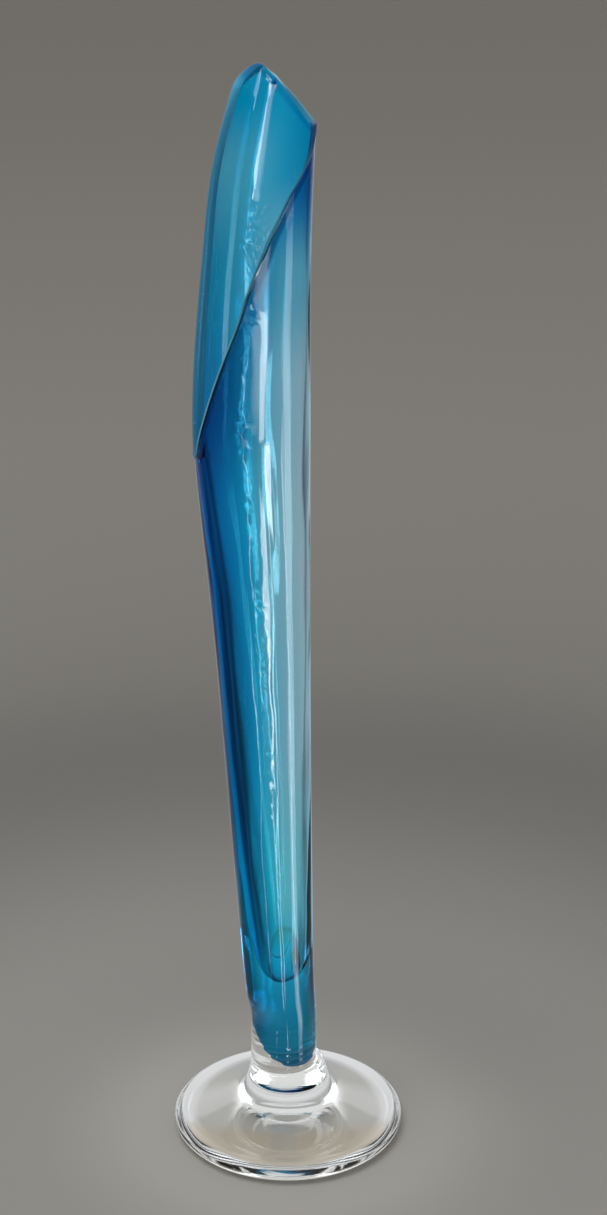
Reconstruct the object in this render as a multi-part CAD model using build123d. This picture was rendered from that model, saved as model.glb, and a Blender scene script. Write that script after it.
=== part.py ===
from build123d import *
from math import cos, pi, sin, tan, radians
import os

# A tall blown glass vase, swung while hot so that its body stretched and leant to one side, then cut open along
# a long slanting line. The origin is the centre of the foot's underside. +Z is up and -Y is the side that the
# long cut faces. Lengths are in millimetres.

# Sizes of the whole
VASE_HEIGHT = 547.2
KNEE_HEIGHT = 366.0
CORNER_HEIGHT = 522.0
LEFT_REACH = 44.0
RIGHT_REACH = 12.0
HALF_DEPTH = 22.0

# The foot, a thick clear disc with a low dome and a ground hollow where the pontil rod was
FOOT_RADIUS = 60.0
FOOT_HEIGHT = 38.0
FOOT_EDGE_ROUND = 6.2
FOOT_EDGE_WRAP = 56.0
DOME_SWELL = 1.2
PONTIL_RADIUS = 13.0
PONTIL_DEPTH = 1.2

# The collar, clear glass gathered round the nose of the body and tooled with rings
COLLAR_RADIUS = 17.0
COLLAR_HEIGHT = 26.0
COLLAR_OFFSET = 2.1
RING_COUNT = 4
RING_PITCH = 3.8
RING_SWELL = 0.55
RING_MARGIN = 0.9

# The blown walls, thickest low on the left and thinning towards the rim
CASING_WALL = 1.2
LEFT_WALL = 5.0
RIGHT_WALL = 3.0
DEPTH_WALL = 4.0
NOSE_TIP_HEIGHT = 39.4
CAVITY_FLOOR_HEIGHT = 89.0
CAVITY_FLOOR_ROUND = 6.0

# The mouth: a slanting cut through the front wall, an arched lip behind it and a ground facet at the top right
FACET_TILT = 6.0
SPLIT_DEPTH = 0.0

OVERRUN = 30.0

# How finely the lofts are laid out
SECTION_POINTS = 16
SEAM_POINT = 3
BODY_STEPS = 16
FLOOR_STEPS = 4

# Stations up the outside of the body: height above the collar, reach to the left, reach to the right, half depth
# and wall thickness, each as a share of its own size
BODY_STATION_SHARES = [
    (0.000, 0.434, 1.242, 0.773, 1.45),
    (0.035, 0.500, 1.160, 0.795, 1.35),
    (0.114, 0.564, 1.070, 0.820, 1.10),
    (0.278, 0.686, 1.015, 0.860, 1.00),
    (0.457, 0.828, 0.965, 0.920, 1.00),
    (0.581, 0.953, 0.958, 0.970, 1.00),
    (0.650, 1.000, 0.958, 1.000, 0.92),
    (0.725, 0.971, 0.958, 1.000, 0.80),
    (0.819, 0.869, 0.990, 0.975, 0.66),
    (0.909, 0.730, 1.100, 0.930, 0.58),
    (1.013, 0.400, 1.300, 0.880, 0.52),
]
CASED_SHARE = 0.114

# Stations up the coloured nose: the square root of the height, then the reach to the left, to the right and the
# half depth as shares of the collar's radius. The height runs from the tip to where the casing gets its own wall.
NOSE_STATION_SHARES = [
    (0.0, -0.170, 0.170, 0.000),
    (0.1, 0.090, 0.365, 0.225),
    (0.2, 0.330, 0.440, 0.390),
    (0.3, 0.520, 0.477, 0.505),
    (0.4, 0.625, 0.500, 0.572),
    (0.5, 0.710, 0.524, 0.632),
    (0.6, 0.838, 0.565, 0.730),
    (0.7, 1.015, 0.622, 0.840),
    (0.8, 1.212, 0.668, 0.928),
    (0.9, 1.332, 0.686, 0.965),
]

# The front cut in side view: from the knee on the left to the corner on the right, across and up
FRONT_CUT_SHARES = [
    (0.00, 0.000),
    (0.05, 0.085),
    (0.12, 0.170),
    (0.25, 0.305),
    (0.46, 0.540),
    (0.66, 0.715),
    (0.90, 0.870),
    (1.00, 1.000),
]

# The arched lip: across from the axis as shares of the reach to the left, and up as shares of the rise from the
# corner to the top
LIP_ARCH_SHARES = [(-0.72, 0.06), (-0.55, 0.44), (-0.42, 0.725), (-0.33, 0.885), (-0.24, 0.995)]
APEX_SHARE = -0.24
CORNER_SHARE = 1.165


def station_height(share):
    """The height of a station of the body."""
    foot_and_collar = FOOT_HEIGHT + COLLAR_HEIGHT
    return foot_and_collar + share * (VASE_HEIGHT - foot_and_collar)


def height_share(height):
    """The share of the body's height that a height is."""
    foot_and_collar = FOOT_HEIGHT + COLLAR_HEIGHT
    return (height - foot_and_collar) / (VASE_HEIGHT - foot_and_collar)


def oval(height, left, right, half_depth):
    """A closed oval wire at a height, from x = -left to x = right."""
    centre = (right - left) / 2
    half_width = (right + left) / 2
    turns = [2 * pi * (n + SEAM_POINT) / SECTION_POINTS for n in range(SECTION_POINTS)]
    points = [(centre + half_width * cos(turn), half_depth * sin(turn), height) for turn in turns]
    return Wire([Edge.make_spline(points, periodic=True)])


def station_at(share):
    """The station of the body at a share of its height, on a smooth curve through the table."""
    rows = BODY_STATION_SHARES
    last = len(rows) - 1
    n = next((i for i in range(last) if share <= rows[i + 1][0]), last - 1)
    low, high = rows[n], rows[n + 1]
    before, after = rows[max(n - 1, 0)], rows[min(n + 2, last)]
    step = high[0] - low[0]
    t = (share - low[0]) / step
    station = [share]
    for a, b, prior, following in zip(low[1:], high[1:], before[1:], after[1:]):
        slope_low = (b - prior) / (high[0] - before[0])
        slope_high = (following - a) / (after[0] - low[0])
        ends = (2 * t**3 - 3 * t**2 + 1) * a + (3 * t**2 - 2 * t**3) * b
        slopes = (t**3 - 2 * t**2 + t) * slope_low + (t**3 - t**2) * slope_high
        station.append(ends + step * slopes)
    return station


def body_oval(share, casing_share, wall_share, extra_inset=0):
    """The oval at a share of the body's height, moved inwards by shares of the casing and of the whole wall."""
    _, left, right, depth, wall = station_at(share)
    inset = casing_share * CASING_WALL * wall + extra_inset
    return oval(
        station_height(share),
        LEFT_REACH * left - inset - wall_share * LEFT_WALL * wall,
        RIGHT_REACH * right - inset - wall_share * RIGHT_WALL * wall,
        HALF_DEPTH * depth - inset - wall_share * DEPTH_WALL * wall,
    )


def body_ovals(start_share, casing_share, wall_share):
    """Evenly spaced ovals from a share of the body's height to the table's end, above the mouth."""
    top_share = BODY_STATION_SHARES[-1][0]
    span = top_share - start_share
    steps = range(BODY_STEPS + 1)
    return [body_oval(start_share + span * n / BODY_STEPS, casing_share, wall_share) for n in steps]


def outer_form():
    """The outside of the clear casing, still uncut at the top."""
    return Solid.make_loft(body_ovals(0, 0, 0))


def colour_form():
    """The outside of the coloured glass, from the tip of its nose up."""
    nose_length = station_height(CASED_SHARE) - NOSE_TIP_HEIGHT
    tip_x = COLLAR_RADIUS * NOSE_STATION_SHARES[0][2]
    sections = [Vertex(tip_x, 0, NOSE_TIP_HEIGHT)]
    for root, left, right, depth in NOSE_STATION_SHARES[1:]:
        height = NOSE_TIP_HEIGHT + nose_length * root**2
        sections.append(oval(height, COLLAR_RADIUS * left, COLLAR_RADIUS * right, COLLAR_RADIUS * depth))
    cased = body_ovals(CASED_SHARE, 1, 0)
    return Solid.make_loft(sections + cased[:1]).fuse(Solid.make_loft(cased))


def cavity_form():
    """The hollow of the vase. Its floor is flat, with a rounded corner all round."""
    corner_top = height_share(CAVITY_FLOOR_HEIGHT + CAVITY_FLOOR_ROUND)
    corner = []
    for step in range(FLOOR_STEPS + 1):
        turn = pi / 2 * step / FLOOR_STEPS
        share = height_share(CAVITY_FLOOR_HEIGHT + CAVITY_FLOOR_ROUND * (1 - cos(turn)))
        corner.append(body_oval(share, 0, 1, CAVITY_FLOOR_ROUND * (1 - sin(turn))))
    return Solid.make_loft(body_ovals(corner_top, 0, 1)).fuse(Solid.make_loft(corner))


def front_cut():
    """The glass taken from the front wall, above the slanting line from the knee to the corner."""
    corner_x = CORNER_SHARE * RIGHT_REACH
    points = [
        (across * (LEFT_REACH + corner_x) - LEFT_REACH, SPLIT_DEPTH, KNEE_HEIGHT + up * (CORNER_HEIGHT - KNEE_HEIGHT))
        for across, up in FRONT_CUT_SHARES
    ]
    line = Edge.make_spline([Vector(*point) for point in points])
    top = VASE_HEIGHT + OVERRUN
    frame = Wire.make_polygon(
        [
            points[-1],
            (corner_x + OVERRUN, SPLIT_DEPTH, CORNER_HEIGHT),
            (corner_x + OVERRUN, SPLIT_DEPTH, top),
            (-LEFT_REACH - OVERRUN, SPLIT_DEPTH, top),
            (-LEFT_REACH - OVERRUN, SPLIT_DEPTH, KNEE_HEIGHT),
            points[0],
        ],
        close=False,
    )
    outline = Face(Wire([line] + list(frame.edges())))
    return Solid.extrude(outline, Vector(0, -HALF_DEPTH - OVERRUN, 0))


def lip_cut():
    """The glass taken from above the arched lip of the back wall."""
    rise = VASE_HEIGHT - CORNER_HEIGHT
    back = HALF_DEPTH + OVERRUN
    points = [(across * LEFT_REACH, -back, CORNER_HEIGHT + up * rise) for across, up in LIP_ARCH_SHARES]
    line = Edge.make_spline([Vector(*point) for point in points])
    top = VASE_HEIGHT + OVERRUN
    right = RIGHT_REACH + OVERRUN
    frame = Wire.make_polygon(
        [points[-1], (right, -back, points[-1][2]), (right, -back, top), (points[0][0], -back, top), points[0]],
        close=False,
    )
    outline = Face(Wire([line] + list(frame.edges())))
    return Solid.extrude(outline, Vector(0, 2 * back, 0))


def facet_cut():
    """The glass ground away at the top right, above a plane that leans to the front."""
    apex = Vector(APEX_SHARE * LEFT_REACH, HALF_DEPTH, VASE_HEIGHT)
    corner = Vector(CORNER_SHARE * RIGHT_REACH, SPLIT_DEPTH, CORNER_HEIGHT)
    forwards = Vector(0, -1, -tan(radians(FACET_TILT)))
    normal = forwards.cross(corner - apex)
    size = 2 * (LEFT_REACH + OVERRUN)
    block = Box(size, size, size, align=(Align.CENTER, Align.CENTER, Align.MIN))
    return Plane(origin=apex, z_dir=normal) * block


def foot():
    """The clear foot, turned about its own axis."""
    centre_r = FOOT_RADIUS - FOOT_EDGE_ROUND
    wrap = radians(FOOT_EDGE_WRAP)
    edge_low = (centre_r, 0)
    edge_side = (centre_r + FOOT_EDGE_ROUND * cos(-pi / 4), FOOT_EDGE_ROUND + FOOT_EDGE_ROUND * sin(-pi / 4))
    edge_high = (centre_r + FOOT_EDGE_ROUND * cos(wrap), FOOT_EDGE_ROUND + FOOT_EDGE_ROUND * sin(wrap))
    seat = (COLLAR_RADIUS + 2 * RING_SWELL, FOOT_HEIGHT)
    swell = ((edge_high[0] + seat[0]) / 2, (edge_high[1] + seat[1]) / 2 + DOME_SWELL)
    with BuildPart() as made:
        with BuildSketch(Plane.XZ):
            with BuildLine():
                ThreePointArc((0, PONTIL_DEPTH), (PONTIL_RADIUS / 2, PONTIL_DEPTH * 3 / 4), (PONTIL_RADIUS, 0))
                Line((PONTIL_RADIUS, 0), edge_low)
                ThreePointArc(edge_low, edge_side, edge_high)
                Spline(edge_high, swell, seat)
                Line(seat, (0, FOOT_HEIGHT))
                Line((0, FOOT_HEIGHT), (0, PONTIL_DEPTH))
            make_face()
        revolve(axis=Axis.Z)
    return made.part


def collar(colour):
    """The clear collar with its tooled rings, hollow where the coloured nose sits in it."""
    base = (COLLAR_RADIUS + RING_SWELL, FOOT_HEIGHT)
    top = FOOT_HEIGHT + COLLAR_HEIGHT
    first = FOOT_HEIGHT + RING_MARGIN
    points = [base]
    for ring in range(RING_COUNT):
        middle = first + (ring + 0.5) * RING_PITCH
        points.append((COLLAR_RADIUS, middle - RING_PITCH / 2))
        points.append((COLLAR_RADIUS + RING_SWELL, middle))
    points.append((COLLAR_RADIUS, first + RING_COUNT * RING_PITCH))
    points.append((COLLAR_RADIUS, top))
    with BuildPart() as made:
        with BuildSketch(Plane.XZ):
            with BuildLine():
                Spline(*points)
                Line(points[-1], (0, top))
                Line((0, top), (0, FOOT_HEIGHT))
                Line((0, FOOT_HEIGHT), base)
            make_face()
        revolve(axis=Axis.Z)
    return Pos(-COLLAR_OFFSET, 0, 0) * made.part - colour


def main():
    os.makedirs("parts", exist_ok=True)
    mouth = front_cut().fuse(lip_cut(), facet_cut())
    outer = outer_form()
    colour = colour_form()
    pieces = {
        "foot": foot(),
        "collar": collar(colour),
        "blue_body": colour - cavity_form() - mouth,
        "clear_casing": outer - colour - mouth,
    }
    for name, piece in pieces.items():
        export_step(piece, f"parts/{name}.step")
        size = piece.bounding_box().size
        print(f"{name}: {len(piece.solids())} solid, {piece.volume:.0f} mm3, {size.X:.1f} x {size.Y:.1f} x {size.Z:.1f}")


main()
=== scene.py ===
# %% [markdown]
# # A swung glass vase, from its solids to its looks
# The vase is thick blown glass: a blue tube in a clear skin, swung while hot so that it stretched and leant,
# then cut open along a slanting line. The solids come first and stay where they are, so this script only adds
# looks to them. Loading them gives the frame that every piece below sits in, in metres.

# %% Load the solids
import math

import bmesh
import bpy
import numpy as np
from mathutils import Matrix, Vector
from mathutils.geometry import delaunay_2d_cdt
from mathutils.kdtree import KDTree


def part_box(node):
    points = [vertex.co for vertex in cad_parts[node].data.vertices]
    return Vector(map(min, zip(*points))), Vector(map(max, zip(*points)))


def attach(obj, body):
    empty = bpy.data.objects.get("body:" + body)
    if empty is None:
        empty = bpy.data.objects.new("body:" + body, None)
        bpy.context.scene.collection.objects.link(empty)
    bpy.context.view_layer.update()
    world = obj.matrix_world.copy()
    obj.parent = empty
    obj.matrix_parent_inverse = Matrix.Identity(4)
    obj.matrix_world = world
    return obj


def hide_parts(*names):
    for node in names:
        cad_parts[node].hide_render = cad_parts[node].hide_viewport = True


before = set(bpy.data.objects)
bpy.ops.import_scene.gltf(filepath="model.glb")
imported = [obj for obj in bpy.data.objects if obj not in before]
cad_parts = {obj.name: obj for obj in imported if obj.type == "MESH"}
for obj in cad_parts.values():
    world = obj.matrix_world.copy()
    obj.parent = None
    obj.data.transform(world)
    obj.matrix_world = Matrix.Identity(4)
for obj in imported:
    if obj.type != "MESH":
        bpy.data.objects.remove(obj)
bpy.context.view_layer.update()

MM = 0.001
for node in sorted(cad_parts):
    low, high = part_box(node)
    print(node, "stands from", round(low.z / MM, 1), "to", round(high.z / MM, 1), "mm")

# %% [markdown]
# ## The camera
# The photograph was taken from a little above the rim, looking down at the foot. The widths of the foot's ellipse
# and of the collar's rings give the distance and the tilt. The frame is tall, so the sensor's long side is upright.

# %% Place the camera
CAMERA_PLACE = (0.0082, -0.984, 0.644)
CAMERA_TILT = math.radians(70.2)
PICTURE_HEIGHT = 1215
FOCAL_PIXELS = 2150
SENSOR = 36.0

camera_data = bpy.data.cameras.new("camera")
camera_data.sensor_width = SENSOR
camera_data.lens = SENSOR * FOCAL_PIXELS / PICTURE_HEIGHT
camera = bpy.data.objects.new("camera", camera_data)
camera.location = CAMERA_PLACE
camera.rotation_euler = (CAMERA_TILT, 0, 0)
bpy.context.scene.collection.objects.link(camera)
bpy.context.scene.camera = camera
print("lens", round(camera_data.lens, 1), "mm")

# %% [markdown]
# ## Helpers for meshes
# Every piece ends as one closed mesh with its faces pointing outwards and its object at the origin.

# %% Make an object from points and faces
SHARP_TURN = 55.0


def make_object(name, points, faces, smooth=True):
    """A closed, outward-facing mesh object from points in metres."""
    mesh = bpy.data.meshes.new(name)
    mesh.from_pydata([tuple(map(float, p)) for p in points], [], [tuple(map(int, f)) for f in faces])
    shape = bmesh.new()
    shape.from_mesh(mesh)
    bmesh.ops.remove_doubles(shape, verts=shape.verts, dist=0.002 * MM)
    bmesh.ops.recalc_face_normals(shape, faces=shape.faces)
    shape.to_mesh(mesh)
    open_edges = sum(1 for edge in shape.edges if len(edge.link_faces) != 2)
    shape.free()
    mesh.polygons.foreach_set("use_smooth", [smooth] * len(mesh.polygons))
    mesh.set_sharp_from_angle(angle=math.radians(SHARP_TURN))
    made = bpy.data.objects.new(name, mesh)
    bpy.context.scene.collection.objects.link(made)
    print(name, len(mesh.polygons), "faces,", open_edges, "open edges")
    return made


# %% [markdown]
# ## The form of the blown tube
# The tube is an oval that changes as it rises: it leans out to the left up to the knee and draws in again to the
# rim. A short table of ovals, joined by a smooth curve, holds the whole form. It is the table of the solids, so
# the picture's pieces lie in the solids' places.

# %% The table of ovals
FOOT_RADIUS, FOOT_HEIGHT = 60.0, 38.0
COLLAR_RADIUS, COLLAR_HEIGHT, COLLAR_OFFSET = 17.0, 26.0, 2.1
VASE_HEIGHT, LEFT_REACH, RIGHT_REACH, HALF_DEPTH = 547.2, 44.0, 12.0, 22.0
LEFT_WALL, RIGHT_WALL, DEPTH_WALL, CASING_WALL = 5.0, 3.0, 4.0, 1.2
COLLAR_TOP = FOOT_HEIGHT + COLLAR_HEIGHT

# height above the collar, reach to the left, reach to the right, half depth, thickness of the wall
TUBE_SHARES = np.array([
    (0.000, 0.434, 1.242, 0.773, 1.45), (0.035, 0.500, 1.160, 0.795, 1.35), (0.114, 0.564, 1.070, 0.820, 1.10),
    (0.278, 0.686, 1.015, 0.860, 1.00), (0.457, 0.828, 0.965, 0.920, 1.00), (0.581, 0.953, 0.958, 0.970, 1.00),
    (0.650, 1.000, 0.958, 1.000, 0.92), (0.725, 0.971, 0.958, 1.000, 0.80), (0.819, 0.869, 0.990, 0.975, 0.66),
    (0.909, 0.741, 1.100, 0.930, 0.58), (1.013, 0.440, 1.300, 0.880, 0.52),
])


def along_table(table, share):
    """The table's columns at some shares, on a smooth curve through its rows."""
    share = np.asarray(share, float)
    keys, rows = table[:, 0], table[:, 1:]
    n = np.clip(np.searchsorted(keys, share, side="right") - 1, 0, len(keys) - 2)
    before, after = np.maximum(n - 1, 0), np.minimum(n + 2, len(keys) - 1)
    step = keys[n + 1] - keys[n]
    t = ((share - keys[n]) / step)[..., None]
    slope_low = (rows[n + 1] - rows[before]) / (keys[n + 1] - keys[before])[..., None]
    slope_high = (rows[after] - rows[n]) / (keys[after] - keys[n])[..., None]
    ends = (2 * t**3 - 3 * t**2 + 1) * rows[n] + (3 * t**2 - 2 * t**3) * rows[n + 1]
    slopes = (t**3 - 2 * t**2 + t) * slope_low + (t**3 - t**2) * slope_high
    return ends + step[..., None] * slopes


# over this many millimetres the tube leaves the collar upright before it starts to lean
JOIN_HEIGHT = 16.0
# height, then how thick the clear casing is on the left and on the right
CASING_SIDES = np.array([
    (40, 0.5, 0.5), (110, 0.5, 0.5), (200, 0.4, 1.6), (300, 0.4, 2.2), (470, 0.8, 2.0), (500, 0.8, 0.5),
    (600, 0.8, 0.5),
])
# height, then how much thicker the glass sagged on the left, on the right and in depth, low in the vase
WALL_SAG = np.array([
    (40, 3.6, 2.2, 1.0), (89, 3.6, 2.2, 1.0), (115, 3.3, 1.6, 0.5), (150, 2.9, 0.9, 0.2), (220, 2.5, 0.2, 0.0),
    (300, 2.0, 0.0, 0.0), (345, 1.0, 0.0, 0.0), (380, 0.0, 0.0, 0.0), (600, 0.0, 0.0, 0.0),
])
# waves that swinging drew into the soft glass: times round, length in millimetres, height in millimetres
WAVES = [
    (2, 310, 0.07), (3, 240, 0.06), (4, 190, 0.05), (5, 150, 0.045), (7, 130, 0.035), (9, 170, 0.03),
    (11, 110, 0.022), (14, 90, 0.014), (17, 120, 0.010),
]
# folds near the cut: turn and height of the middle, half sizes in degrees and millimetres, times round, length,
# then the height on the outer skin and on the inner one
FOLDS = [
    (266, 440, 10, 22, 20, 26, 0.08, 0.03), (255, 418, 12, 14, 30, 13, 0.07, 0.02),
    (259, 381, 9, 10, 26, 12, 0.22, 0.05), (248, 392, 10, 16, 24, 18, 0.07, 0.03),
    (262, 352, 9, 22, 18, 34, 0.06, 0.02), (91, 466, 16, 15, 23, 13, 0.12, 0.24),
    (86, 437, 10, 12, 21, 16, 0.02, 0.09), (270, 300, 10, 34, 16, 40, 0.05, 0.02),
    (275, 240, 12, 30, 15, 36, 0.05, 0.02),
]
drawn = np.random.default_rng(5)
WAVE_STARTS = drawn.uniform(0, 2 * math.pi, (2, len(WAVES), 2))
FOLD_STARTS = drawn.uniform(0, 2 * math.pi, len(FOLDS))


def waviness(turn, height, side):
    """How far the waves lift the outer skin (side 0) or the inner one (side 1)."""
    lift = 0.0
    for (times, length, size), (start, slope) in zip(WAVES, WAVE_STARTS[side]):
        lift = lift + size * np.sin(times * turn + start + 1.5 * np.sin(2 * math.pi * height / length + slope))
    for (middle, level, half_turn, half_height, times, length, *sizes), start in zip(FOLDS, FOLD_STARTS):
        off = (np.degrees(turn) - middle + 180) % 360 - 180
        fade = np.exp(-((off / half_turn) ** 2) - ((height - level) / half_height) ** 2)
        bend = 1.2 * np.sin(2 * math.pi * (height - level) / length + start)
        lift = lift + sizes[side] * fade * np.sin(times * np.radians(off) + bend)
    return lift


def tube_skin(turn, height, casing=0.0, wall=0.0, inset=0.0):
    """Points in millimetres on a skin of the tube, moved inwards by shares of the casing and of the wall."""
    above = np.asarray(height, float) - COLLAR_TOP
    eased_in = np.clip(above / JOIN_HEIGHT, 0, 1)
    above = np.where(above < JOIN_HEIGHT, JOIN_HEIGHT * (2 * eased_in**2 - eased_in**3), above)
    share = above / (VASE_HEIGHT - COLLAR_TOP)
    left, right, depth, thick = np.moveaxis(along_table(TUBE_SHARES, share), -1, 0)
    clear_left = casing * np.interp(height, CASING_SIDES[:, 0], CASING_SIDES[:, 1]) + inset
    clear_right = casing * np.interp(height, CASING_SIDES[:, 0], CASING_SIDES[:, 2]) + inset
    sag_left, sag_right, sag_depth = (np.interp(height, WALL_SAG[:, 0], WALL_SAG[:, n]) for n in (1, 2, 3))
    left = LEFT_REACH * left - clear_left - wall * (LEFT_WALL * thick + sag_left)
    right = RIGHT_REACH * right - clear_right - wall * (RIGHT_WALL * thick + sag_right)
    depth = HALF_DEPTH * depth - casing * CASING_WALL * thick - inset - wall * (DEPTH_WALL * thick + sag_depth)
    lift = (1 - np.minimum(wall, 1)) * waviness(turn, height, 0) + np.minimum(wall, 1) * waviness(turn, height, 1)
    lift = lift * np.clip((height - COLLAR_TOP) / 12, 0, 1)
    across = (right - left) / 2 + ((right + left) / 2 + lift) * np.cos(turn)
    return np.stack([across, (depth + lift) * np.sin(turn), np.broadcast_to(height, across.shape)], -1)


print("widest:", np.round(tube_skin(np.array([0, math.pi]), 366.0)[:, 0], 1), "mm")

# %% [markdown]
# ## The rim
# The maker cut the soft tube open with shears. The rim runs from the corner at the right over a ground facet to
# the top, over an arch, straight down the left side to the knee, and back up across the front. It is written as
# turns round the tube and heights, and a smooth curve joins them, with a crisp corner at the top and at the right.

# %% Lay out the rim
# turn in degrees, height, roundness of the lip, and how far its inner edge lies below the outer one
RIM = [
    (90.0, 540.4, 0.0, 1.5), (105.0, 543.8, 0.0, 1.3), (116.5, 546.2, 0.0, 1.2),
    (116.5, 546.2, 0.6, 0.6), (124.0, 546.3, 1.0, 0.0), (132.0, 545.6, 1.0, 0.0), (141.0, 544.0, 1.0, 0.0),
    (151.0, 542.2, 1.0, 0.0), (164.0, 539.2, 1.0, 0.0), (172.5, 534.6, 1.0, 0.0), (178.0, 523.0, 1.0, 0.0),
    (180.3, 503.0, 1.0, 0.0), (180.8, 461.0, 1.0, 0.0), (181.0, 415.0, 1.0, 0.0),
    (181.4, 385.0, 1.0, 0.0), (183.5, 370.5, 1.0, 0.0), (190.5, 367.5, 0.8, 0.0), (206.5, 379.0, 0.5, 0.0),
    (219.8, 392.0, 0.4, 0.0), (239.8, 416.9, 0.4, 0.0), (252.9, 433.6, 0.5, 0.0), (262.0, 449.0, 0.7, 0.0),
    (278.8, 470.0, 0.9, 0.0), (290.0, 481.0, 1.0, 0.0), (303.2, 492.2, 1.0, 0.0), (321.0, 501.5, 1.0, 0.0),
    (340.0, 510.5, 0.8, 0.3), (360.0, 521.0, 0.3, 0.8),
    (360.0, 521.0, 0.0, 1.0), (386.9, 523.2, 0.0, 1.5), (407.0, 527.6, 0.0, 1.5), (430.0, 534.2, 0.0, 1.5),
    (450.0, 540.4, 0.0, 1.5),
]
RIM_SPACING = 0.9


def smooth_run(rows, count=60):
    """A Catmull-Rom curve through rows, count steps for each pair."""
    rows = np.array(rows, float)
    ends = np.vstack([2 * rows[0] - rows[1], rows, 2 * rows[-1] - rows[-2]])
    made = []
    for a, b, c, d in zip(ends, ends[1:], ends[2:], ends[3:]):
        t = np.linspace(0, 1, count, endpoint=False)[:, None]
        made.append(b + t * (c - a) / 2 + t**2 * (2 * a - 5 * b + 4 * c - d) / 2 + t**3 * (3 * b - a - 3 * c + d) / 2)
    return np.vstack(made + [rows[-1:]])


def rim_curve(spacing):
    """The rim at even steps: turn in radians, height, roundness and drop of the inner edge."""
    corners = [n for n in range(1, len(RIM)) if RIM[n][:2] == RIM[n - 1][:2]]
    runs = [RIM[a:b] for a, b in zip([0] + corners, corners + [len(RIM)])]
    rows = np.vstack([smooth_run(run) for run in runs])
    rows[:, 0] = np.radians(rows[:, 0])
    places = tube_skin(rows[:, 0], rows[:, 1])
    along = np.concatenate([[0], np.cumsum(np.linalg.norm(np.diff(places, axis=0), axis=1))])
    keep = np.concatenate([[True], np.diff(along) > 1e-6])
    along, rows = along[keep], rows[keep]
    steps = np.linspace(0, along[-1], round(along[-1] / spacing) + 1)
    print("rim", round(along[-1]), "mm round")
    return np.stack([np.interp(steps, along, column) for column in rows.T], -1)


rim = rim_curve(RIM_SPACING)


def move_into_glass(curve, distance, window=5):
    """The curve moved from the rim into the glass by a distance for each point, kept smooth at the corners."""
    place = tube_skin(curve[:, 0], curve[:, 1])
    round_step = np.linalg.norm(tube_skin(curve[:, 0] + 0.01, curve[:, 1]) - place, axis=1) / 0.01
    ahead, behind = np.roll(curve[:-1], -1, 0), np.roll(curve[:-1], 1, 0)
    turn_step = np.mod(ahead[:, 0] - behind[:, 0] + math.pi, 2 * math.pi) - math.pi
    tangent = np.stack([turn_step * round_step[:-1], ahead[:, 1] - behind[:, 1]], -1)
    inwards = np.stack([tangent[:, 1], -tangent[:, 0]], -1)
    inwards /= np.linalg.norm(inwards, axis=1)[:, None]
    padded = np.vstack([inwards[-window:], inwards, inwards[:window]])
    weights = np.hanning(2 * window + 3)[1:-1]
    inwards = np.stack([np.convolve(padded[:, k], weights / weights.sum(), "valid") for k in (0, 1)], -1)
    inwards = np.vstack([inwards, inwards[:1]])
    moved = curve.copy()
    moved[:, 0] += distance * inwards[:, 0] / round_step
    moved[:, 1] += distance * inwards[:, 1]
    moved[0, 0] = curve[0, 0]
    moved[-1] = moved[0]
    moved[-1, 0] = curve[-1, 0]
    return moved


# %% [markdown]
# ## One skin of the wall
# A skin is a grid of turns and heights bent round the tube. The grid stops a little short of the rim, and fine
# triangles fill the gap, so that the skin ends exactly on the slanting line. Most of the skin stays clean quads.

# %% Grow a skin up to the rim
COLUMNS = 240
ROW_HEIGHT = 2.5
RIM_CLEARANCE = 1.9
MEAN_RADIUS = 22.0
SEAM = math.pi / 2


def inside_outline(points, outline):
    """Which points lie inside a closed outline, by counting crossings."""
    ahead = np.roll(outline, -1, 0)
    x, y = points[:, :1], points[:, 1:]
    spans = (outline[:, 1] > y) != (ahead[:, 1] > y)
    rise = np.where(ahead[:, 1] == outline[:, 1], 1e-12, ahead[:, 1] - outline[:, 1])
    crossing = outline[:, 0] + (y - outline[:, 1]) * (ahead[:, 0] - outline[:, 0]) / rise
    return ((spans & (x < crossing)).sum(1) % 2) == 1


def tree_of(points):
    """A search tree of points, flat ones or in space."""
    tree = KDTree(len(points))
    for n, point in enumerate(points):
        tree.insert((*point, 0.0)[:3], n)
    tree.balance()
    return tree


def distance_to(points, curve):
    """The least distance from each point to the curve's points."""
    tree = tree_of(curve)
    return np.array([tree.find((*point, 0.0)[:3])[2] for point in points])


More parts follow.
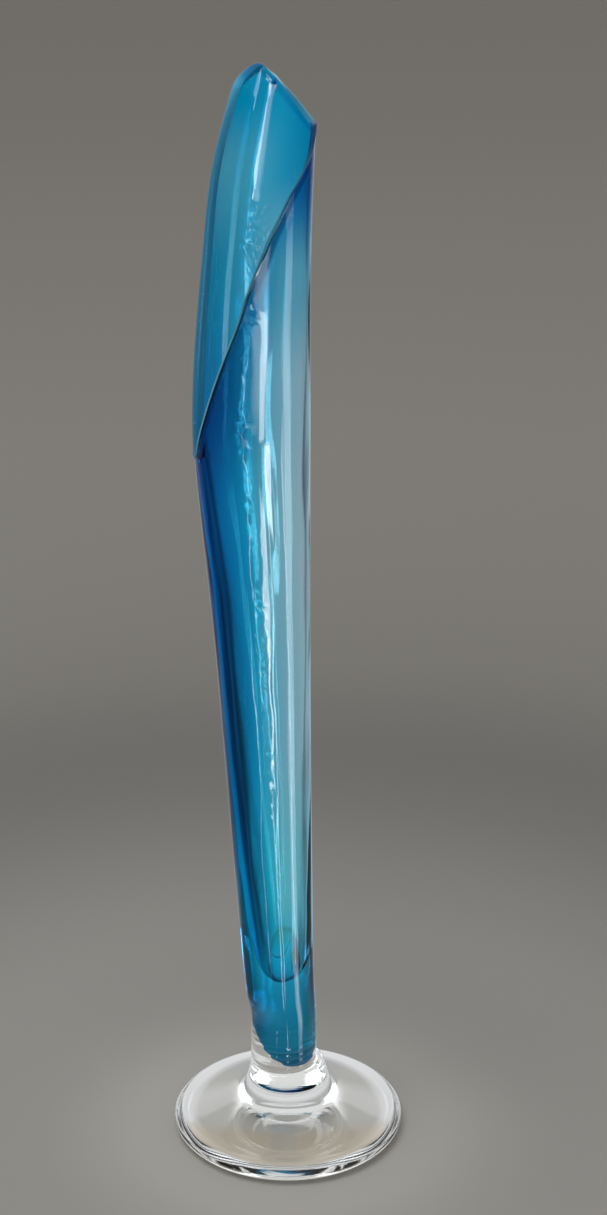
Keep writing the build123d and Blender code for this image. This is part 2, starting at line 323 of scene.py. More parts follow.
def grow_skin(edge, low):
    """Turns, heights and faces of a skin between a level ring at low and the edge, whose points come first."""
    turns = SEAM + 2 * math.pi * np.arange(COLUMNS + 1) / COLUMNS
    heights = np.arange(low, edge[:, 1].max() + ROW_HEIGHT, ROW_HEIGHT)
    flat_edge = np.stack([edge[:, 0] * MEAN_RADIUS, edge[:, 1]], -1)
    outline = np.vstack([flat_edge, [(turns[-1] * MEAN_RADIUS, low - 1), (turns[0] * MEAN_RADIUS, low - 1)]])
    grid = np.stack(np.meshgrid(turns * MEAN_RADIUS, heights, indexing="ij"), -1).reshape(-1, 2)
    once_round = np.array([2 * math.pi * MEAN_RADIUS, 0])
    wrapped = np.vstack([flat_edge, flat_edge + once_round, flat_edge - once_round])
    # a point on the seam is tested a hair inside it
    in_first_half = grid[:, :1] < turns[COLUMNS // 2] * MEAN_RADIUS
    probe = grid + np.array([1e-5, 0]) * np.where(in_first_half, 1, -1)
    keep = inside_outline(probe, outline) & (distance_to(grid, wrapped) > RIM_CLEARANCE)
    keep = keep.reshape(COLUMNS + 1, len(heights))
    both = keep[0] & keep[-1]
    keep[0], keep[-1] = both, both
    number = -np.ones(keep.shape, int)
    number[keep] = len(edge) + np.arange(keep.sum())
    a, b, c, d = number[:-1, :-1], number[1:, :-1], number[1:, 1:], number[:-1, 1:]
    whole = (a >= 0) & (b >= 0) & (c >= 0) & (d >= 0)
    quads = np.stack([a[whole], b[whole], c[whole], d[whole]], -1)
    points = np.vstack([flat_edge, grid[keep.reshape(-1)]])
    # the gap between the quads and the rim, filled with triangles
    sides = {}
    for quad in quads:
        for one, two in zip(quad, np.roll(quad, -1)):
            key = (min(one, two), max(one, two))
            sides[key] = sides.get(key, 0) + 1
    level = points[:, 1] < low + 1e-6
    border = [pair for pair, times in sides.items() if times == 1 and not (level[pair[0]] and level[pair[1]])]
    loose = set(number[keep]) - {n for quad in quads for n in quad}
    used = sorted(set(range(len(edge))) | {n for pair in border for n in pair} | loose)
    top_left = max((n for n in number[0] if n >= 0), default=-1)
    top_right = max((n for n in number[-1] if n >= 0), default=-1)
    place = {n: k for k, n in enumerate(used)}
    edges = [(place[p], place[q]) for p, q in border]
    edges += [(place[n], place[n + 1]) for n in range(len(edge) - 1)]
    edges += [(place[0], place[top_left]), (place[len(edge) - 1], place[top_right])]
    flat = [Vector(points[n]) for n in used]
    made = delaunay_2d_cdt(flat, edges, [], 0, 1e-7)
    new_points = np.array([tuple(v) for v in made[0]])
    source = [origin[0] if origin else -1 for origin in made[3]]
    centres = np.array([new_points[list(face)].mean(0) for face in made[2]])
    column = np.floor((centres[:, 0] / MEAN_RADIUS - turns[0]) / (turns[1] - turns[0])).astype(int)
    row = np.floor((centres[:, 1] - low) / ROW_HEIGHT).astype(int)
    fits = (column >= 0) & (column < COLUMNS) & (row >= 0) & (row < whole.shape[1])
    covered = np.zeros(len(centres), bool)
    covered[fits] = whole[column[fits], row[fits]]
    good = inside_outline(centres, outline) & ~covered & (centres[:, 1] > low)
    back, extra = [], []
    for n, origin in enumerate(source):
        if origin < 0:
            back.append(len(points) + len(extra))
            extra.append(new_points[n])
        else:
            back.append(used[origin])
    faces = [tuple(back[n] for n in face) for face, kept in zip(made[2], good) if kept]
    if extra:
        points = np.vstack([points, extra])
    print("skin:", len(quads), "quads and", len(faces), "triangles at the rim,", len(extra), "added points")
    return points[:, 0] / MEAN_RADIUS, points[:, 1], [tuple(q) for q in quads] + faces


# %% [markdown]
# ## A wall of glass
# An outer skin, an inner skin and a rounded lip make one closed wall. Cut glass that goes back into the fire gets
# a soft, round lip, while the facet at the top was ground flat later, so the lip's section goes from round to
# square along the rim.

# %% Build a wall
LIP_STEPS = 10
UPPER_START = 320.0
# narrow strips follow the rim, so that the bead and the lip's colours have points to sit on
STRIP_WIDTHS = (0.7, 0.8, 0.9, 1.0)
# how far the lip's crest sits towards the outer skin, and the bead that the heat drew up inside the rim
CREST_OUT, BEAD_REACH = 0.78, 2.4
# turn along the rim, then how much the bead thickens the wall
BEADS = np.array([(90, 0.4), (184, 0.4), (197, 0.0), (258, 0.0), (285, 0.4), (450, 0.4)])
LIP_ROWS = {}


def eased(values, window=6):
    """Values round the rim with their jumps eased."""
    ring = np.concatenate([values[-window - 1 : -1], values, values[1 : window + 1]])
    weights = np.hanning(2 * window + 3)[1:-1]
    return np.convolve(ring, weights / weights.sum(), "valid")


def beaded(skin, turns, heights):
    """A skin's points, with the inner skin swollen into a bead along the rim."""
    if not skin.get("wall"):
        return tube_skin(turns, heights, **skin)
    flat = np.stack([turns * MEAN_RADIUS, heights], -1)
    flat_rim = np.stack([rim[:, 0] * MEAN_RADIUS, rim[:, 1]], -1)
    size = np.interp(np.degrees(turns), BEADS[:, 0], BEADS[:, 1])
    bead = 1 + size * np.exp(-((distance_to(flat, flat_rim) / BEAD_REACH) ** 2))
    return tube_skin(turns, heights, **dict(skin, wall=skin["wall"] * bead))


def strip(row, after):
    """Faces between two rows of point numbers."""
    return [(row[n], row[n + 1], after[n + 1], after[n]) for n in range(len(row) - 1)]


def blow_wall(name, outer, inner, low_outer, low_inner, rim_gap):
    """A closed wall from two skins, each with the rings below it, and a lip that joins them."""
    thick = np.linalg.norm(tube_skin(rim[:, 0], rim[:, 1], **outer) - tube_skin(rim[:, 0], rim[:, 1], **inner), axis=1)
    bulge = eased(thick / 2 * (0.25 + 0.75 * rim[:, 2]))
    crest_out = move_into_glass(rim, rim_gap)
    crest_in = crest_out.copy()
    crest_in[:, 1] -= eased(rim[:, 3])
    points, faces, rims, tops = [], [], [], []
    start = 0
    for crest, skin, rings in ((crest_out, outer, low_outer), (crest_in, inner, low_inner)):
        levels = [move_into_glass(crest, bulge)]
        for width in STRIP_WIDTHS:
            levels.append(move_into_glass(levels[-1], width))
        rims.append(start + np.arange(len(rim)))
        for level in levels[:-1]:
            points.append(beaded(skin, level[:, 0], level[:, 1]))
            here = start + np.arange(len(rim))
            faces += strip(here, here + len(rim))
            start += len(rim)
        tops.append(points[-len(STRIP_WIDTHS)])
        turns, heights, sheet = grow_skin(levels[-1], UPPER_START)
        points.append(beaded(skin, turns, heights))
        faces += [tuple(n + start for n in face) for face in sheet]
        start += len(turns)
        ring_points, ring_faces = stack_rings(rings)
        points.append(ring_points)
        faces += [tuple(n + start for n in face) for face in ring_faces]
        start += len(ring_points)
    top_out, top_in = tops
    outwards = (0.5 + (CREST_OUT - 0.5) * rim[:, 2])[:, None]
    crest = outwards * tube_skin(crest_out[:, 0], crest_out[:, 1], **outer)
    crest += (1 - outwards) * tube_skin(crest_in[:, 0], crest_in[:, 1], **inner)
    middle = (top_out + top_in) / 2
    power = (0.3 + 0.7 * rim[:, 2])[:, None]
    last = rims[0]
    LIP_ROWS[name] = [top_out]
    for step in range(1, LIP_STEPS):
        angle = math.pi * step / LIP_STEPS
        side = np.sign(math.cos(angle)) * abs(math.cos(angle)) ** power
        rise = math.sin(angle) ** power
        points.append(middle + (top_out - middle) * side + (crest - middle) * rise)
        LIP_ROWS[name].append(points[-1])
        here = start + np.arange(len(rim))
        faces += strip(last, here)
        last, start = here, start + len(rim)
    LIP_ROWS[name].append(top_in)
    faces += strip(last, rims[1])
    return make_object(name, np.vstack(points) * MM, faces)


def stack_rings(rings):
    """Points and faces of level rings from the top one down, closed below by one more point."""
    points = np.vstack(rings + [rings[-1].mean(0)[None]])
    faces = []
    for n in range(len(rings) - 1):
        a, b = n * COLUMNS, (n + 1) * COLUMNS
        faces += [(a + k, a + (k + 1) % COLUMNS, b + (k + 1) % COLUMNS, b + k) for k in range(COLUMNS)]
    last = (len(rings) - 1) * COLUMNS
    faces += [(last + k, last + (k + 1) % COLUMNS, len(points) - 1) for k in range(COLUMNS)]
    return points, faces


ring_turns = SEAM + 2 * math.pi * np.arange(COLUMNS) / COLUMNS
CAVITY_FLOOR, CAVITY_ROUND = 89.0, 2.5
# the floor of the cavity rises to the back, and the slant fades out over this height
FLOOR_SLANT, SLANT_FADE, FLOOR_HALF_DEPTH = 0.9, 70.0, 11.8


def cavity_rings(skin, raise_floor=0.0):
    """The rings of the cavity below the rim's zone, down to the rounded corner and across the floor,
    which rises to the back."""
    corner_top = CAVITY_FLOOR + CAVITY_ROUND + raise_floor
    rings = [tube_skin(ring_turns, z, **skin) for z in np.linspace(UPPER_START, corner_top, 58)]
    for turn in np.linspace(0, math.pi / 2, 13)[1:]:
        height = corner_top - CAVITY_ROUND * math.sin(turn)
        corner = dict(skin, inset=skin.get("inset", 0) + CAVITY_ROUND * (1 - math.cos(turn)))
        rings.append(tube_skin(ring_turns, height, **corner))
    centre = rings[-1].mean(0)
    rings += [centre + (rings[-1] - centre) * share for share in (0.8, 0.6, 0.4, 0.2)]
    for ring in rings:
        fade = np.clip(1 - (ring[:, 2] - CAVITY_FLOOR) / SLANT_FADE, 0, 1) ** 2
        ring[:, 2] += FLOOR_SLANT * fade * (ring[:, 1] + FLOOR_HALF_DEPTH)
    return rings


# %% [markdown]
# ## The clear casing
# Clear glass was gathered over the blue. Where two glasses are fused, light passes from one to the other without
# bending, so only the outside of the vase and its cavity may bend it. The clear piece is therefore the whole wall,
# and the blue piece lies inside it and only colours the light. It ends level on the collar.

# %% Blow the casing
OUTSIDE = dict()
CAVITY = dict(wall=1.0)

casing_low = [tube_skin(ring_turns, z, **OUTSIDE) for z in np.linspace(UPPER_START, COLLAR_TOP, 66)]
base_centre = casing_low[-1].mean(0)
casing_low += [base_centre + (casing_low[-1] - base_centre) * share for share in (0.7, 0.35)]
casing = blow_wall("casing", OUTSIDE, CAVITY, casing_low, cavity_rings(CAVITY), 0.0)

# %% [markdown]
# ## The blue glass
# The blue glass fills the wall between the clear skin and the cavity, closes the bottom as a solid plug and ends
# in a rounded nose inside the collar. It is drawn a hair's breadth away from the cavity's own surface.

# %% Blow the blue glass
BLUE_OUTSIDE = dict(casing=1.0)
BLUE_INSIDE = dict(wall=1.0, inset=-0.06)
CASED_HEIGHT = COLLAR_TOP + 0.114 * (VASE_HEIGHT - COLLAR_TOP)
NOSE_TIP = 37.2
# square root of the height share, then the reach to the left, to the right and the half depth of the nose
NOSE_SHARES = np.array([
    (0.0, -0.170, 0.170, 0.000), (0.1, 0.060, 0.365, 0.225), (0.2, 0.275, 0.450, 0.390), (0.3, 0.450, 0.495, 0.505),
    (0.4, 0.575, 0.530, 0.580), (0.5, 0.690, 0.560, 0.660), (0.6, 0.830, 0.600, 0.760), (0.7, 1.015, 0.640, 0.850),
    (0.8, 1.212, 0.668, 0.928), (0.9, 1.332, 0.690, 0.965), (1.0, 1.420, 0.710, 0.986),
])


def nose_ring(root):
    """The nose's oval at a square root of its height share."""
    left, right, depth = along_table(NOSE_SHARES, root) * COLLAR_RADIUS
    height = NOSE_TIP + (CASED_HEIGHT - NOSE_TIP) * root**2
    across = (right - left) / 2 + (right + left) / 2 * np.cos(ring_turns)
    return np.stack([across, depth * np.sin(ring_turns), np.full(COLUMNS, height)], -1)


blue_low = [tube_skin(ring_turns, z, **BLUE_OUTSIDE) for z in np.linspace(UPPER_START, CASED_HEIGHT, 52)]
blue_low += [nose_ring(root) for root in np.linspace(1, 0.03, 44)[1:]]
blue = blow_wall("blue_core", BLUE_OUTSIDE, BLUE_INSIDE, blue_low, cavity_rings(BLUE_INSIDE, -0.06), 0.5)

# %% [markdown]
# ## The foot and the collar
# Both are turned forms: one section, carried once round. A Geometry Nodes tree does just that. It takes the
# section as a curve and sweeps it round a circle, so the section's points are the only thing to draw.

# %% A tree that turns a section
def plug(tree, socket, value):
    """Links a value that comes from a node to a socket, or sets a plain one there."""
    if isinstance(value, bpy.types.NodeSocket):
        tree.links.new(value, socket)
    else:
        socket.default_value = value


def math_node(tree, operation, *values):
    """A Math node with its inputs linked or set."""
    node = tree.nodes.new("ShaderNodeMath")
    node.operation = operation
    for socket, value in zip(node.inputs, values):
        plug(tree, socket, value)
    return node.outputs[0]


def turning_tree():
    """A Geometry Nodes tree that carries a section once round an upright axis."""
    tree = bpy.data.node_groups.new("turn_section", "GeometryNodeTree")
    face = tree.interface
    face.new_socket("Section", in_out="INPUT", socket_type="NodeSocketGeometry")
    steps = face.new_socket("Steps round", in_out="INPUT", socket_type="NodeSocketInt")
    axis = face.new_socket("Axis", in_out="INPUT", socket_type="NodeSocketVector")
    glass = face.new_socket("Glass", in_out="INPUT", socket_type="NodeSocketMaterial")
    face.new_socket("Turned", in_out="OUTPUT", socket_type="NodeSocketGeometry")
    new, link = tree.nodes.new, tree.links.new
    source, sink = new("NodeGroupInput"), new("NodeGroupOutput")

    count = new("GeometryNodeAttributeDomainSize")
    grid = new("GeometryNodeMeshGrid")
    grid.inputs["Size X"].default_value = 1.0
    grid.inputs["Size Y"].default_value = 1.0
    link(source.outputs["Section"], count.inputs["Geometry"])
    link(math_node(tree, "ADD", source.outputs["Steps round"], 1), grid.inputs["Vertices X"])
    link(count.outputs["Point Count"], grid.inputs["Vertices Y"])

    place, split = new("GeometryNodeInputPosition"), new("ShaderNodeSeparateXYZ")
    link(place.outputs["Position"], split.inputs["Vector"])
    turn = math_node(tree, "MULTIPLY", math_node(tree, "ADD", split.outputs["X"], 0.5), 2 * math.pi)
    rows = math_node(tree, "SUBTRACT", count.outputs["Point Count"], 1)
    row = math_node(tree, "ROUND", math_node(tree, "MULTIPLY", math_node(tree, "ADD", split.outputs["Y"], 0.5), rows))
    sample = new("GeometryNodeSampleIndex")
    sample.data_type = "FLOAT_VECTOR"
    section_place, section_split = new("GeometryNodeInputPosition"), new("ShaderNodeSeparateXYZ")
    link(source.outputs["Section"], sample.inputs["Geometry"])
    link(section_place.outputs["Position"], sample.inputs["Value"])
    link(row, sample.inputs["Index"])
    link(sample.outputs["Value"], section_split.inputs["Vector"])

    radius = section_split.outputs["X"]
    turned_place, shifted = new("ShaderNodeCombineXYZ"), new("ShaderNodeVectorMath")
    move = new("GeometryNodeSetPosition")
    link(math_node(tree, "MULTIPLY", radius, math_node(tree, "COSINE", turn)), turned_place.inputs["X"])
    link(math_node(tree, "MULTIPLY", radius, math_node(tree, "SINE", turn)), turned_place.inputs["Y"])
    link(section_split.outputs["Z"], turned_place.inputs["Z"])
    link(turned_place.outputs["Vector"], shifted.inputs[0])
    link(source.outputs["Axis"], shifted.inputs[1])
    link(grid.outputs["Mesh"], move.inputs["Geometry"])
    link(shifted.outputs["Vector"], move.inputs["Position"])

    merge, realize = new("GeometryNodeMergeByDistance"), new("GeometryNodeRealizeInstances")
    finish = new("GeometryNodeSetMaterial")
    merge.inputs["Distance"].default_value = 0.002 * MM
    link(move.outputs["Geometry"], merge.inputs["Geometry"])
    link(merge.outputs["Geometry"], realize.inputs["Geometry"])
    link(realize.outputs["Geometry"], finish.inputs["Geometry"])
    link(source.outputs["Glass"], finish.inputs["Material"])
    link(finish.outputs["Geometry"], sink.inputs["Turned"])
    return tree, steps.identifier, axis.identifier, glass.identifier


TURNING, STEPS_INPUT, AXIS_INPUT, GLASS_INPUT = turning_tree()
print("turning tree:", len(TURNING.nodes), "nodes")

# %% [markdown]
# ## A turned piece from its section
# The tree needs only a grid. Each column of the grid is one step round the axis and each row is one point of the
# section, so a point's place is the section's point turned by its column. The result becomes a plain mesh.

# %% Turn a section
def turned(name, section, steps, centre=(0.0, 0.0)):
    """A turned piece from a section of (radius, height) rows in millimetres, about an upright axis."""
    drawn = bpy.data.meshes.new(name + "_section")
    drawn.from_pydata([(r * MM, 0, z * MM) for r, z in section], [], [])
    holder = bpy.data.objects.new(name + "_section", drawn)
    bpy.context.scene.collection.objects.link(holder)
    modifier = holder.modifiers.new("turn", "NODES")
    modifier.node_group = TURNING
    modifier[STEPS_INPUT] = steps
    modifier[AXIS_INPUT] = (centre[0] * MM, centre[1] * MM, 0.0)
    bpy.context.view_layer.update()
    solid = bpy.data.meshes.new_from_object(holder.evaluated_get(bpy.context.evaluated_depsgraph_get()))
    holder.modifiers.remove(modifier)
    bpy.data.objects.remove(holder)
    points = np.zeros(len(solid.vertices) * 3)
    solid.vertices.foreach_get("co", points)
    faces = [tuple(p.vertices) for p in solid.polygons]
    return make_object(name, points.reshape(-1, 3), faces)


def arc(centre, radii, start, end, steps):
    """Points of an oval arc, between two angles in degrees."""
    angles = np.radians(np.linspace(start, end, steps))
    return [(centre[0] + radii[0] * math.cos(a), centre[1] + radii[1] * math.sin(a)) for a in angles]


print("a quarter of a 10 mm circle has", len(arc((0, 0), (10, 10), 0, 90, 12)), "points")

# %% [markdown]
# ## The foot
# On the real vase the foot is a thick disc with a thin, round rim. Its wide plate flares up to the collar, and its
# underside is a shallow hollow, with the ground mark of the pontil iron in the middle. That hollow matters for the
# looks: with a flat underside, light would be caught in the plate and turn its front dark.

# %% Turn the foot
# the rim of the foot: half widths below and above its widest line, heights of both parts, and where the top starts
RIM_UNDER, RIM_OVER, RIM_LOW, RIM_HIGH, RIM_WRAP = 9.0, 9.5, 6.4, 4.6, 72.0
FOOT_BELL = [
    (49.0, 11.7), (44.0, 13.4), (38.0, 15.5), (33.0, 17.3), (29.0, 18.9), (26.0, 20.5), (24.0, 22.6), (22.4, 25.6),
    (20.8, 30.2), (19.4, 35.4),
]
PONTIL_RADIUS, PONTIL_DEPTH = 13.0, 1.2
HOLLOW_RADIUS, HOLLOW_DEPTH = 47.0, 3.2
SEAT_RADIUS = 18.1
FOOT_STEPS = 224


def hollow(radius):
    """The height of the underside: a shallow hollow, with the ground pontil mark in its middle."""
    wide = HOLLOW_DEPTH * max(0.0, 1 - (radius / HOLLOW_RADIUS) ** 2)
    return wide + PONTIL_DEPTH * max(0.0, 1 - (radius / PONTIL_RADIUS) ** 2)


edge = arc((FOOT_RADIUS - RIM_UNDER, RIM_LOW), (RIM_UNDER, RIM_LOW), -90, 0, 24)
edge += arc((FOOT_RADIUS - RIM_OVER, RIM_LOW), (RIM_OVER, RIM_HIGH), 0, RIM_WRAP, 20)[1:]
seat = (SEAT_RADIUS, FOOT_HEIGHT)
dome = smooth_run([edge[-1], *FOOT_BELL, seat], 8)[1:]
reaches = (*np.linspace(0, PONTIL_RADIUS, 12), *np.linspace(PONTIL_RADIUS, edge[0][0], 20)[1:-1])
under = [(r, hollow(r)) for r in reaches]
joint_disc = [(r, FOOT_HEIGHT) for r in np.linspace(seat[0], 0, 8)[1:]]
foot = turned("foot_glass", under + edge + [tuple(p) for p in dome] + joint_disc, FOOT_STEPS)

# %% [markdown]
# ## Air in the foot
# A flat bubble sits under the collar, where the hot pieces met, and fourteen seeds lie in the plate. A bubble is a
# closed shell inside the glass with its faces turned inwards, which is all that makes it air.

# %% Trap the air
BUBBLE_CENTRE, BUBBLE_RADII = (0.5, 0.0, 24.0), (13.0, 11.0, 1.5)
SEED_COUNT = 14


def trap_air(piece, centre, radii, steps=(48, 24)):
    """Adds an air bubble to a solid piece: a closed shell whose faces point into the bubble."""
    shape = bmesh.new()
    shape.from_mesh(piece.data)
    bubble = bmesh.ops.create_uvsphere(shape, u_segments=steps[0], v_segments=steps[1], radius=1.0)["verts"]
    for vert in bubble:
        vert.co = Vector([(c + r * k) * MM for c, r, k in zip(centre, radii, vert.co)])
    around = list({face for vert in bubble for face in vert.link_faces})
    for face in around:
        face.smooth = True
    bmesh.ops.reverse_faces(shape, faces=around)
    shape.to_mesh(piece.data)
    shape.free()


trap_air(foot, BUBBLE_CENTRE, BUBBLE_RADII)
seeds = np.random.default_rng(11)
for _ in range(SEED_COUNT):
    reach, turn = seeds.uniform(12, 46), seeds.uniform(0, 2 * math.pi)
    size = seeds.uniform(0.12, 0.38)
    centre = (reach * math.cos(turn), reach * math.sin(turn), seeds.uniform(3, 9))
    trap_air(foot, centre, (size, size, size * 0.8), (12, 8))
print("foot with its air:", len(foot.data.polygons), "faces")

# %% [markdown]
# ## The collar
# The collar is a gather of clear glass round the blue nose. Tooling left soft rings on it, and it flares a little
# where it melts into the foot. It is turned like the foot, about an axis a little to the left.

# %% Turn the collar
RING_COUNT, RING_PITCH, RING_LOOK = 4, 3.8, 0.09
FLARE, FLARE_HEIGHT = 0.55, 0.9
COLLAR_STEPS = 192
ring_low = FOOT_HEIGHT + FLARE_HEIGHT
heights = np.linspace(FOOT_HEIGHT, COLLAR_TOP, 90)
swells = np.where(
    (heights > ring_low) & (heights < ring_low + RING_COUNT * RING_PITCH),
    RING_LOOK * (0.5 - 0.5 * np.cos(2 * math.pi * (heights - ring_low) / RING_PITCH)),
    0.0,
)
swells += FLARE * np.clip(1 - (heights - FOOT_HEIGHT) / FLARE_HEIGHT, 0, 1) ** 2
side = [(COLLAR_RADIUS + s, z) for s, z in zip(swells, heights)]
low_disc = [(r, FOOT_HEIGHT) for r in np.linspace(0, side[0][0], 8)[:-1]]
high_disc = [(r, COLLAR_TOP) for r in np.linspace(side[-1][0], 0, 8)[1:]]
collar = turned("collar_glass", low_disc + side + high_disc, COLLAR_STEPS, (-COLLAR_OFFSET, 0.0))

# %% [markdown]
# ## Helpers for materials
# A material is a small net of nodes. Some nodes come back in every net, so each has a short function here: a range
# mapped to another, a colour ramp, a mix of two colours, a value that the mesh keeps, soft noise and a bump.

# %% Nodes that come back
def ranged(tree, value, low, high, first=0.0, last=1.0, smooth=False):
    """A value mapped from low and high to first and last, straight or in a smooth step."""
    node = tree.nodes.new("ShaderNodeMapRange")
    node.interpolation_type = "SMOOTHSTEP" if smooth else "LINEAR"
    for name, number in (("Value", value), ("From Min", low), ("From Max", high), ("To Min", first), ("To Max", last)):
        plug(tree, node.inputs[name], number)
    return node.outputs["Result"]


def ramp_at(tree, share, stops):
    """A colour ramp with its (place, colour) stops, read at a share."""
    node = tree.nodes.new("ShaderNodeValToRGB")
    while len(node.color_ramp.elements) < len(stops):
        node.color_ramp.elements.new(0.5)
    for element, (place, colour) in zip(node.color_ramp.elements, stops):
        element.position, element.color = place, (*colour, 1)
    tree.links.new(share, node.inputs["Fac"])
    return node.outputs["Color"]


def mixed(tree, share, first, second, kind="MIX"):
    """Two colours mixed by a share."""
    node = tree.nodes.new("ShaderNodeMix")
    node.data_type, node.blend_type = "RGBA", kind
    for name, value in (("Factor", share), ("A", first), ("B", second)):
        plug(tree, node.inputs[name], value)
    return node.outputs["Result"]


def point_value(tree, name):
    """A value that the mesh keeps for each of its points."""
    node = tree.nodes.new("ShaderNodeAttribute")
    node.attribute_name = name
    return node.outputs["Fac"]


def noise(tree, scale, detail, stretch=(1.0, 1.0, 1.0)):
    """Soft noise over a piece, drawn out along the axes where the stretch is small."""
    place, drawn_out, cloud = (tree.nodes.new("ShaderNode" + n) for n in ("TexCoord", "Mapping", "TexNoise"))
    drawn_out.inputs["Scale"].default_value = stretch
    cloud.inputs["Scale"].default_value, cloud.inputs["Detail"].default_value = scale, detail
    tree.links.new(place.outputs["Object"], drawn_out.inputs["Vector"])
    tree.links.new(drawn_out.outputs["Vector"], cloud.inputs["Vector"])
    return cloud.outputs["Fac"]


def bumped(tree, height, strength, distance, under=None):
    """The surface's direction, tilted as if it had that height, on top of another bump."""
    node = tree.nodes.new("ShaderNodeBump")
    node.inputs["Strength"].default_value, node.inputs["Distance"].default_value = strength, distance
    tree.links.new(height, node.inputs["Height"])
    if under is not None:
        tree.links.new(under, node.inputs["Normal"])
    return node.outputs["Normal"]


def empty_material(name, kind="ShaderNodeBsdfPrincipled"):
    """A material with nothing in its net but a shader and the output."""
    made = bpy.data.materials.new(name)
    made.use_nodes = True
    tree = made.node_tree
    tree.nodes.clear()
    shader, out = tree.nodes.new(kind), tree.nodes.new("ShaderNodeOutputMaterial")
    tree.links.new(shader.outputs[0], out.inputs["Surface"])
    return made, tree, shader, out


print("helpers for materials are ready")

# %% [markdown]
# ## Clear glass
# Clear glass needs little colour and no grain. What makes it real is in the small things: a faint tint, drawn-out
# ripples from the swinging, and a polish that is not quite even. Where the glass is folded near the cut, a wave
# texture adds small swirls, because its bands curl the way soft glass does.

# %% Make the clear glasses
GLASS_IOR = 1.5
CLOUD_SCALE, CLOUD_DETAIL = 60.0, 3.0
RIPPLE_HEIGHT = 0.4 * MM
SWIRL_BANDS = {"Scale": 70.0, "Distortion": 7.0, "Detail": 2.5, "Detail Scale": 1.3}


def glass_material(name, tints, ripple, stretch, rough, swirl=0.0):
    """Clear glass with a cloudy tint, drawn-out ripples, an uneven polish and swirls in its folds."""
    made, tree, shader, _ = empty_material(name)
    shader.inputs["Transmission Weight"].default_value = 1.0
    shader.inputs["IOR"].default_value = GLASS_IOR
    cloud = noise(tree, CLOUD_SCALE, CLOUD_DETAIL, stretch)
    normal = bumped(tree, cloud, ripple, RIPPLE_HEIGHT)
    if swirl:
        curl, place = tree.nodes.new("ShaderNodeTexWave"), tree.nodes.new("ShaderNodeTexCoord")
        curl.bands_direction = "DIAGONAL"
        for socket, value in SWIRL_BANDS.items():
            curl.inputs[socket].default_value = value
        tree.links.new(place.outputs["Object"], curl.inputs["Vector"])
        raised = math_node(tree, "MULTIPLY", curl.outputs["Fac"], point_value(tree, "folded"))
        normal = bumped(tree, raised, 1.0, swirl * MM, normal)
    tree.links.new(ramp_at(tree, cloud, list(zip((0.3, 0.7), tints))), shader.inputs["Base Color"])
    tree.links.new(ranged(tree, cloud, 0.0, 1.0, *rough), shader.inputs["Roughness"])
    tree.links.new(normal, shader.inputs["Normal"])
    return made


clear = glass_material(
    "clear_glass", ((0.97, 0.98, 0.98), (1.0, 1.0, 1.0)), 0.12, (1.0, 1.0, 0.12), (0.0, 0.015), swirl=0.3
)
foot_clear = glass_material(
    "foot_clear_glass", ((0.96, 0.97, 0.965), (1.0, 1.0, 1.0)), 0.06, (0.5, 0.5, 0.5), (0.03, 0.08)
)
print("clear glass:", len(clear.node_tree.nodes), "nodes, foot:", len(foot_clear.node_tree.nodes), "nodes")
